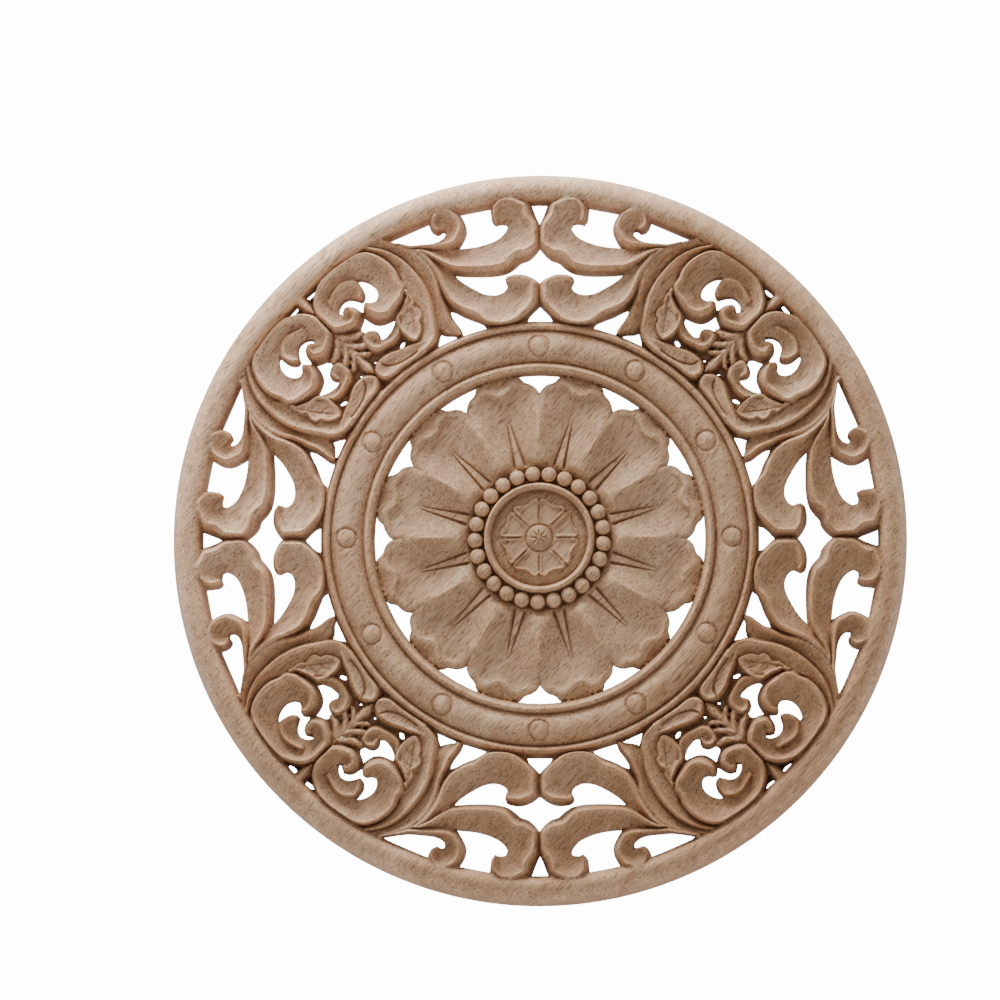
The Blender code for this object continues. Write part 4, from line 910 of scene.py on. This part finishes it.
class Nodes:
    """Short ways to add nodes to a material or a world."""

    def __init__(self, owner):
        owner.use_nodes = True
        self.tree = owner.node_tree
        self.link = self.tree.links.new

    def node(self, kind, **settings):
        new = self.tree.nodes.new(kind)
        for name, value in settings.items():
            setattr(new, name, value)
        return new

    def mapped(self, vector, change, value):
        """Coordinates turned or scaled."""
        new = self.node("ShaderNodeMapping", vector_type="POINT")
        new.inputs[change].default_value = value
        self.link(vector, new.inputs["Vector"])
        return new.outputs["Vector"]

    def noise(self, vector, detail, rough=0.5):
        new = self.node("ShaderNodeTexNoise")
        for name, value in (("Scale", 1.0), ("Detail", detail), ("Roughness", rough)):
            new.inputs[name].default_value = value
        self.link(vector, new.inputs["Vector"])
        return new.outputs["Fac"]

    def axis(self, vector, name):
        new = self.node("ShaderNodeSeparateXYZ")
        self.link(vector, new.inputs[0])
        return new.outputs[name]

    def spread(self, value, *ends):
        """A range spread over another; ends are those of the range, then of the other."""
        new = self.node("ShaderNodeMapRange")
        for name, end in zip(("From Min", "From Max", "To Min", "To Max"), ends):
            new.inputs[name].default_value = end
        self.link(value, new.inputs["Value"])
        return new.outputs["Result"]

    def ramp(self, factor, stops):
        new = self.node("ShaderNodeValToRGB")
        elements = new.color_ramp.elements
        while len(elements) < len(stops):
            elements.new(0.5)
        for element, (place, colour) in zip(elements, stops):
            element.position = place
            element.color = (*colour, 1)
        self.link(factor, new.inputs["Fac"])
        return new.outputs["Color"]

    def mix(self, kind, factor, a, b):
        """Two colours mixed; factor, a and b are values or outputs of nodes."""
        new = self.node("ShaderNodeMix", data_type="RGBA", blend_type=kind)
        for name, given in (("Factor", factor), ("A", a), ("B", b)):
            if isinstance(given, float):
                new.inputs[name].default_value = given
            elif isinstance(given, tuple):
                new.inputs[name].default_value = (*given, 1)
            else:
                self.link(given, new.inputs[name])
        return new.outputs["Result"]

    def multiply(self, a, b):
        return self.mix("MULTIPLY", 1.0, a, b)


def new_material(name, roughness):
    """A material, its nodes and the inputs of its surface."""
    material = bpy.data.materials.new(name)
    nodes = Nodes(material)
    surface = nodes.tree.nodes["Principled BSDF"].inputs
    surface["Roughness"].default_value = roughness
    return material, nodes, surface


def wood():
    """Pale bare hardwood: grain and pores running up to the right; the staves' tone with painted light,
    lighter to the upper left; painted shade in the cuts and a painted highlight on the crests; cut walls
    darker from their end grain and painted shade.
    """
    material, nodes, surface = new_material("bare_wood", WOOD_ROUGH)
    surface["Specular IOR Level"].default_value = WOOD_SHINE
    place = nodes.node("ShaderNodeTexCoord").outputs
    along = nodes.mapped(place["Object"], "Rotation", (0, math.radians(GRAIN_TURN), 0))

    def grain(size, detail, rough=0.5):
        """Noise in marks of a size in millimetres: along the grain, into the wood, across."""
        scale = [1 / (q * MM) for q in size]
        return nodes.noise(nodes.mapped(along, "Scale", scale), detail, rough)

    # broad bands of tone, a warmer tint here and there, and the tone of the staves with painted light,
    # lighter to the upper left
    tone = nodes.ramp(grain(TONE_SIZE, detail=3, rough=0.6), TONE_STOPS)
    tint = nodes.ramp(grain(TINT_SIZE, detail=2), TINT_STOPS)
    tone = nodes.mix("MIX", tint, tone, WOOD_WARM)
    # painted light: lighter towards the upper left, darker towards the lower right, with steps between
    # the staves
    across = nodes.spread(nodes.axis(along, "Z"), R_OUT * MM, -R_OUT * MM)
    tone = nodes.multiply(tone, nodes.ramp(across, STAVE_TONE_AND_PAINTED_LIGHT))
    # fine streaks and the dashes of the pores
    streak = grain(STREAK_SIZE, detail=3, rough=0.7)
    tone = nodes.multiply(tone, nodes.ramp(streak, STREAK_STOPS))
    dash = nodes.ramp(grain(PORE_SIZE, detail=1), PORE_STOPS)
    tone = nodes.mix("MIX", nodes.multiply(dash, PORE_COVER), tone, WOOD_PORE)
    # painted shade darkens the cuts, a painted highlight lightens the crests a little
    over = nodes.node("ShaderNodeAttribute", attribute_name="relief").outputs["Fac"]
    level = nodes.spread(over, -RELIEF_RANGE, RELIEF_RANGE)
    tone = nodes.multiply(tone, nodes.ramp(level, CUT_SHADE_CREST_HIGHLIGHT))
    # darker on the cut walls, which face neither to the front nor to the back: their end grain, and
    # painted shade
    flat = nodes.node("ShaderNodeMath", operation="ABSOLUTE")
    nodes.link(nodes.axis(place["Normal"], "Y"), flat.inputs[0])
    tone = nodes.multiply(tone, nodes.ramp(flat.outputs["Value"], WALL_END_GRAIN_AND_SHADE))
    nodes.link(tone, surface["Base Color"])
    bump = nodes.node("ShaderNodeBump")
    bump.inputs["Strength"].default_value = BUMP_STRENGTH
    bump.inputs["Distance"].default_value = BUMP_DEPTH * MM
    nodes.link(nodes.mix("SUBTRACT", 1.0, streak, dash), bump.inputs["Height"])
    nodes.link(bump.outputs["Normal"], surface["Normal"])
    return material


def studio_floor():
    """Pale disc well below the hung panel."""
    bpy.ops.mesh.primitive_circle_add(vertices=96, radius=FLOOR_R, fill_type="NGON",
                                      location=(0, 0, FLOOR_LEVEL))
    floor = bpy.context.object
    floor.name = "floor"
    material, _, surface = new_material("pale_floor", FLOOR_ROUGH)
    surface["Base Color"].default_value = FLOOR_GREY
    floor.data.materials.append(material)


def surroundings():
    """White all round for the camera; for the object, light from above that fades downwards."""
    world = bpy.data.worlds.new("studio")
    bpy.context.scene.world = world
    nodes = Nodes(world)
    ambient, white = nodes.tree.nodes["Background"], nodes.node("ShaderNodeBackground")
    for background in (ambient, white):
        background.inputs["Color"].default_value = (1, 1, 1, 1)
    white.inputs["Strength"].default_value = BACKDROP
    up = nodes.axis(nodes.node("ShaderNodeTexCoord").outputs["Generated"], "Z")
    nodes.link(nodes.spread(up, -1.0, 1.0, *AMBIENT), ambient.inputs["Strength"])
    pick = nodes.node("ShaderNodeMixShader")
    seen = nodes.node("ShaderNodeLightPath").outputs["Is Camera Ray"]
    for number, output in enumerate((seen, ambient.outputs[0], white.outputs[0])):
        nodes.link(output, pick.inputs[number])
    nodes.link(pick.outputs[0], nodes.tree.nodes["World Output"].inputs["Surface"])


def add_lights():
    """Soft round lights above and behind, each turned to the panel."""
    for name, energy, size, spot in LIGHTS:
        data = bpy.data.lights.new(name, "AREA")
        data.energy = energy
        data.shape = "DISK"
        data.size = size
        lamp = bpy.data.objects.new(name, data)
        lamp.location = spot
        lamp.rotation_euler = (-Vector(spot)).to_track_quat("-Z", "Y").to_euler()
        bpy.context.scene.collection.objects.link(lamp)


def add_camera():
    """Right of and below the axis, so that the lower edges of the openings hide their walls."""
    az, el = math.radians(CAM_TURN), math.radians(CAM_RISE)
    way = Vector((math.sin(az) * math.cos(el), -math.cos(az) * math.cos(el), math.sin(el)))
    spot = way * CAM_AWAY
    data = bpy.data.cameras.new("camera")
    data.sensor_width = SENSOR
    data.lens = SENSOR * CAM_AWAY / FRAME_WIDE
    data.shift_x, data.shift_y = CAM_SHIFT
    camera = bpy.data.objects.new("camera", data)
    camera.location = spot
    camera.rotation_euler = (-spot).to_track_quat("-Z", "Y").to_euler()
    bpy.context.scene.collection.objects.link(camera)
    bpy.context.scene.camera = camera


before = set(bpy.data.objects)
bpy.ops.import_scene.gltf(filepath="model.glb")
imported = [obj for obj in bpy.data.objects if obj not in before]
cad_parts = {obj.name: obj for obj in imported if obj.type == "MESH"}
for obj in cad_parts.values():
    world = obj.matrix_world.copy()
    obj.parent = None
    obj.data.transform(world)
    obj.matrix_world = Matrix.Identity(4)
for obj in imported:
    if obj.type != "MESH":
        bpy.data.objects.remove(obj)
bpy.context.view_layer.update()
panel = bpy.data.objects.new("carved_panel", carving())
bpy.context.scene.collection.objects.link(panel)
panel.data.materials.append(wood())
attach(panel, "root")
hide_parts("carved_roundel")
studio_floor()
surroundings()
add_lights()
add_camera()
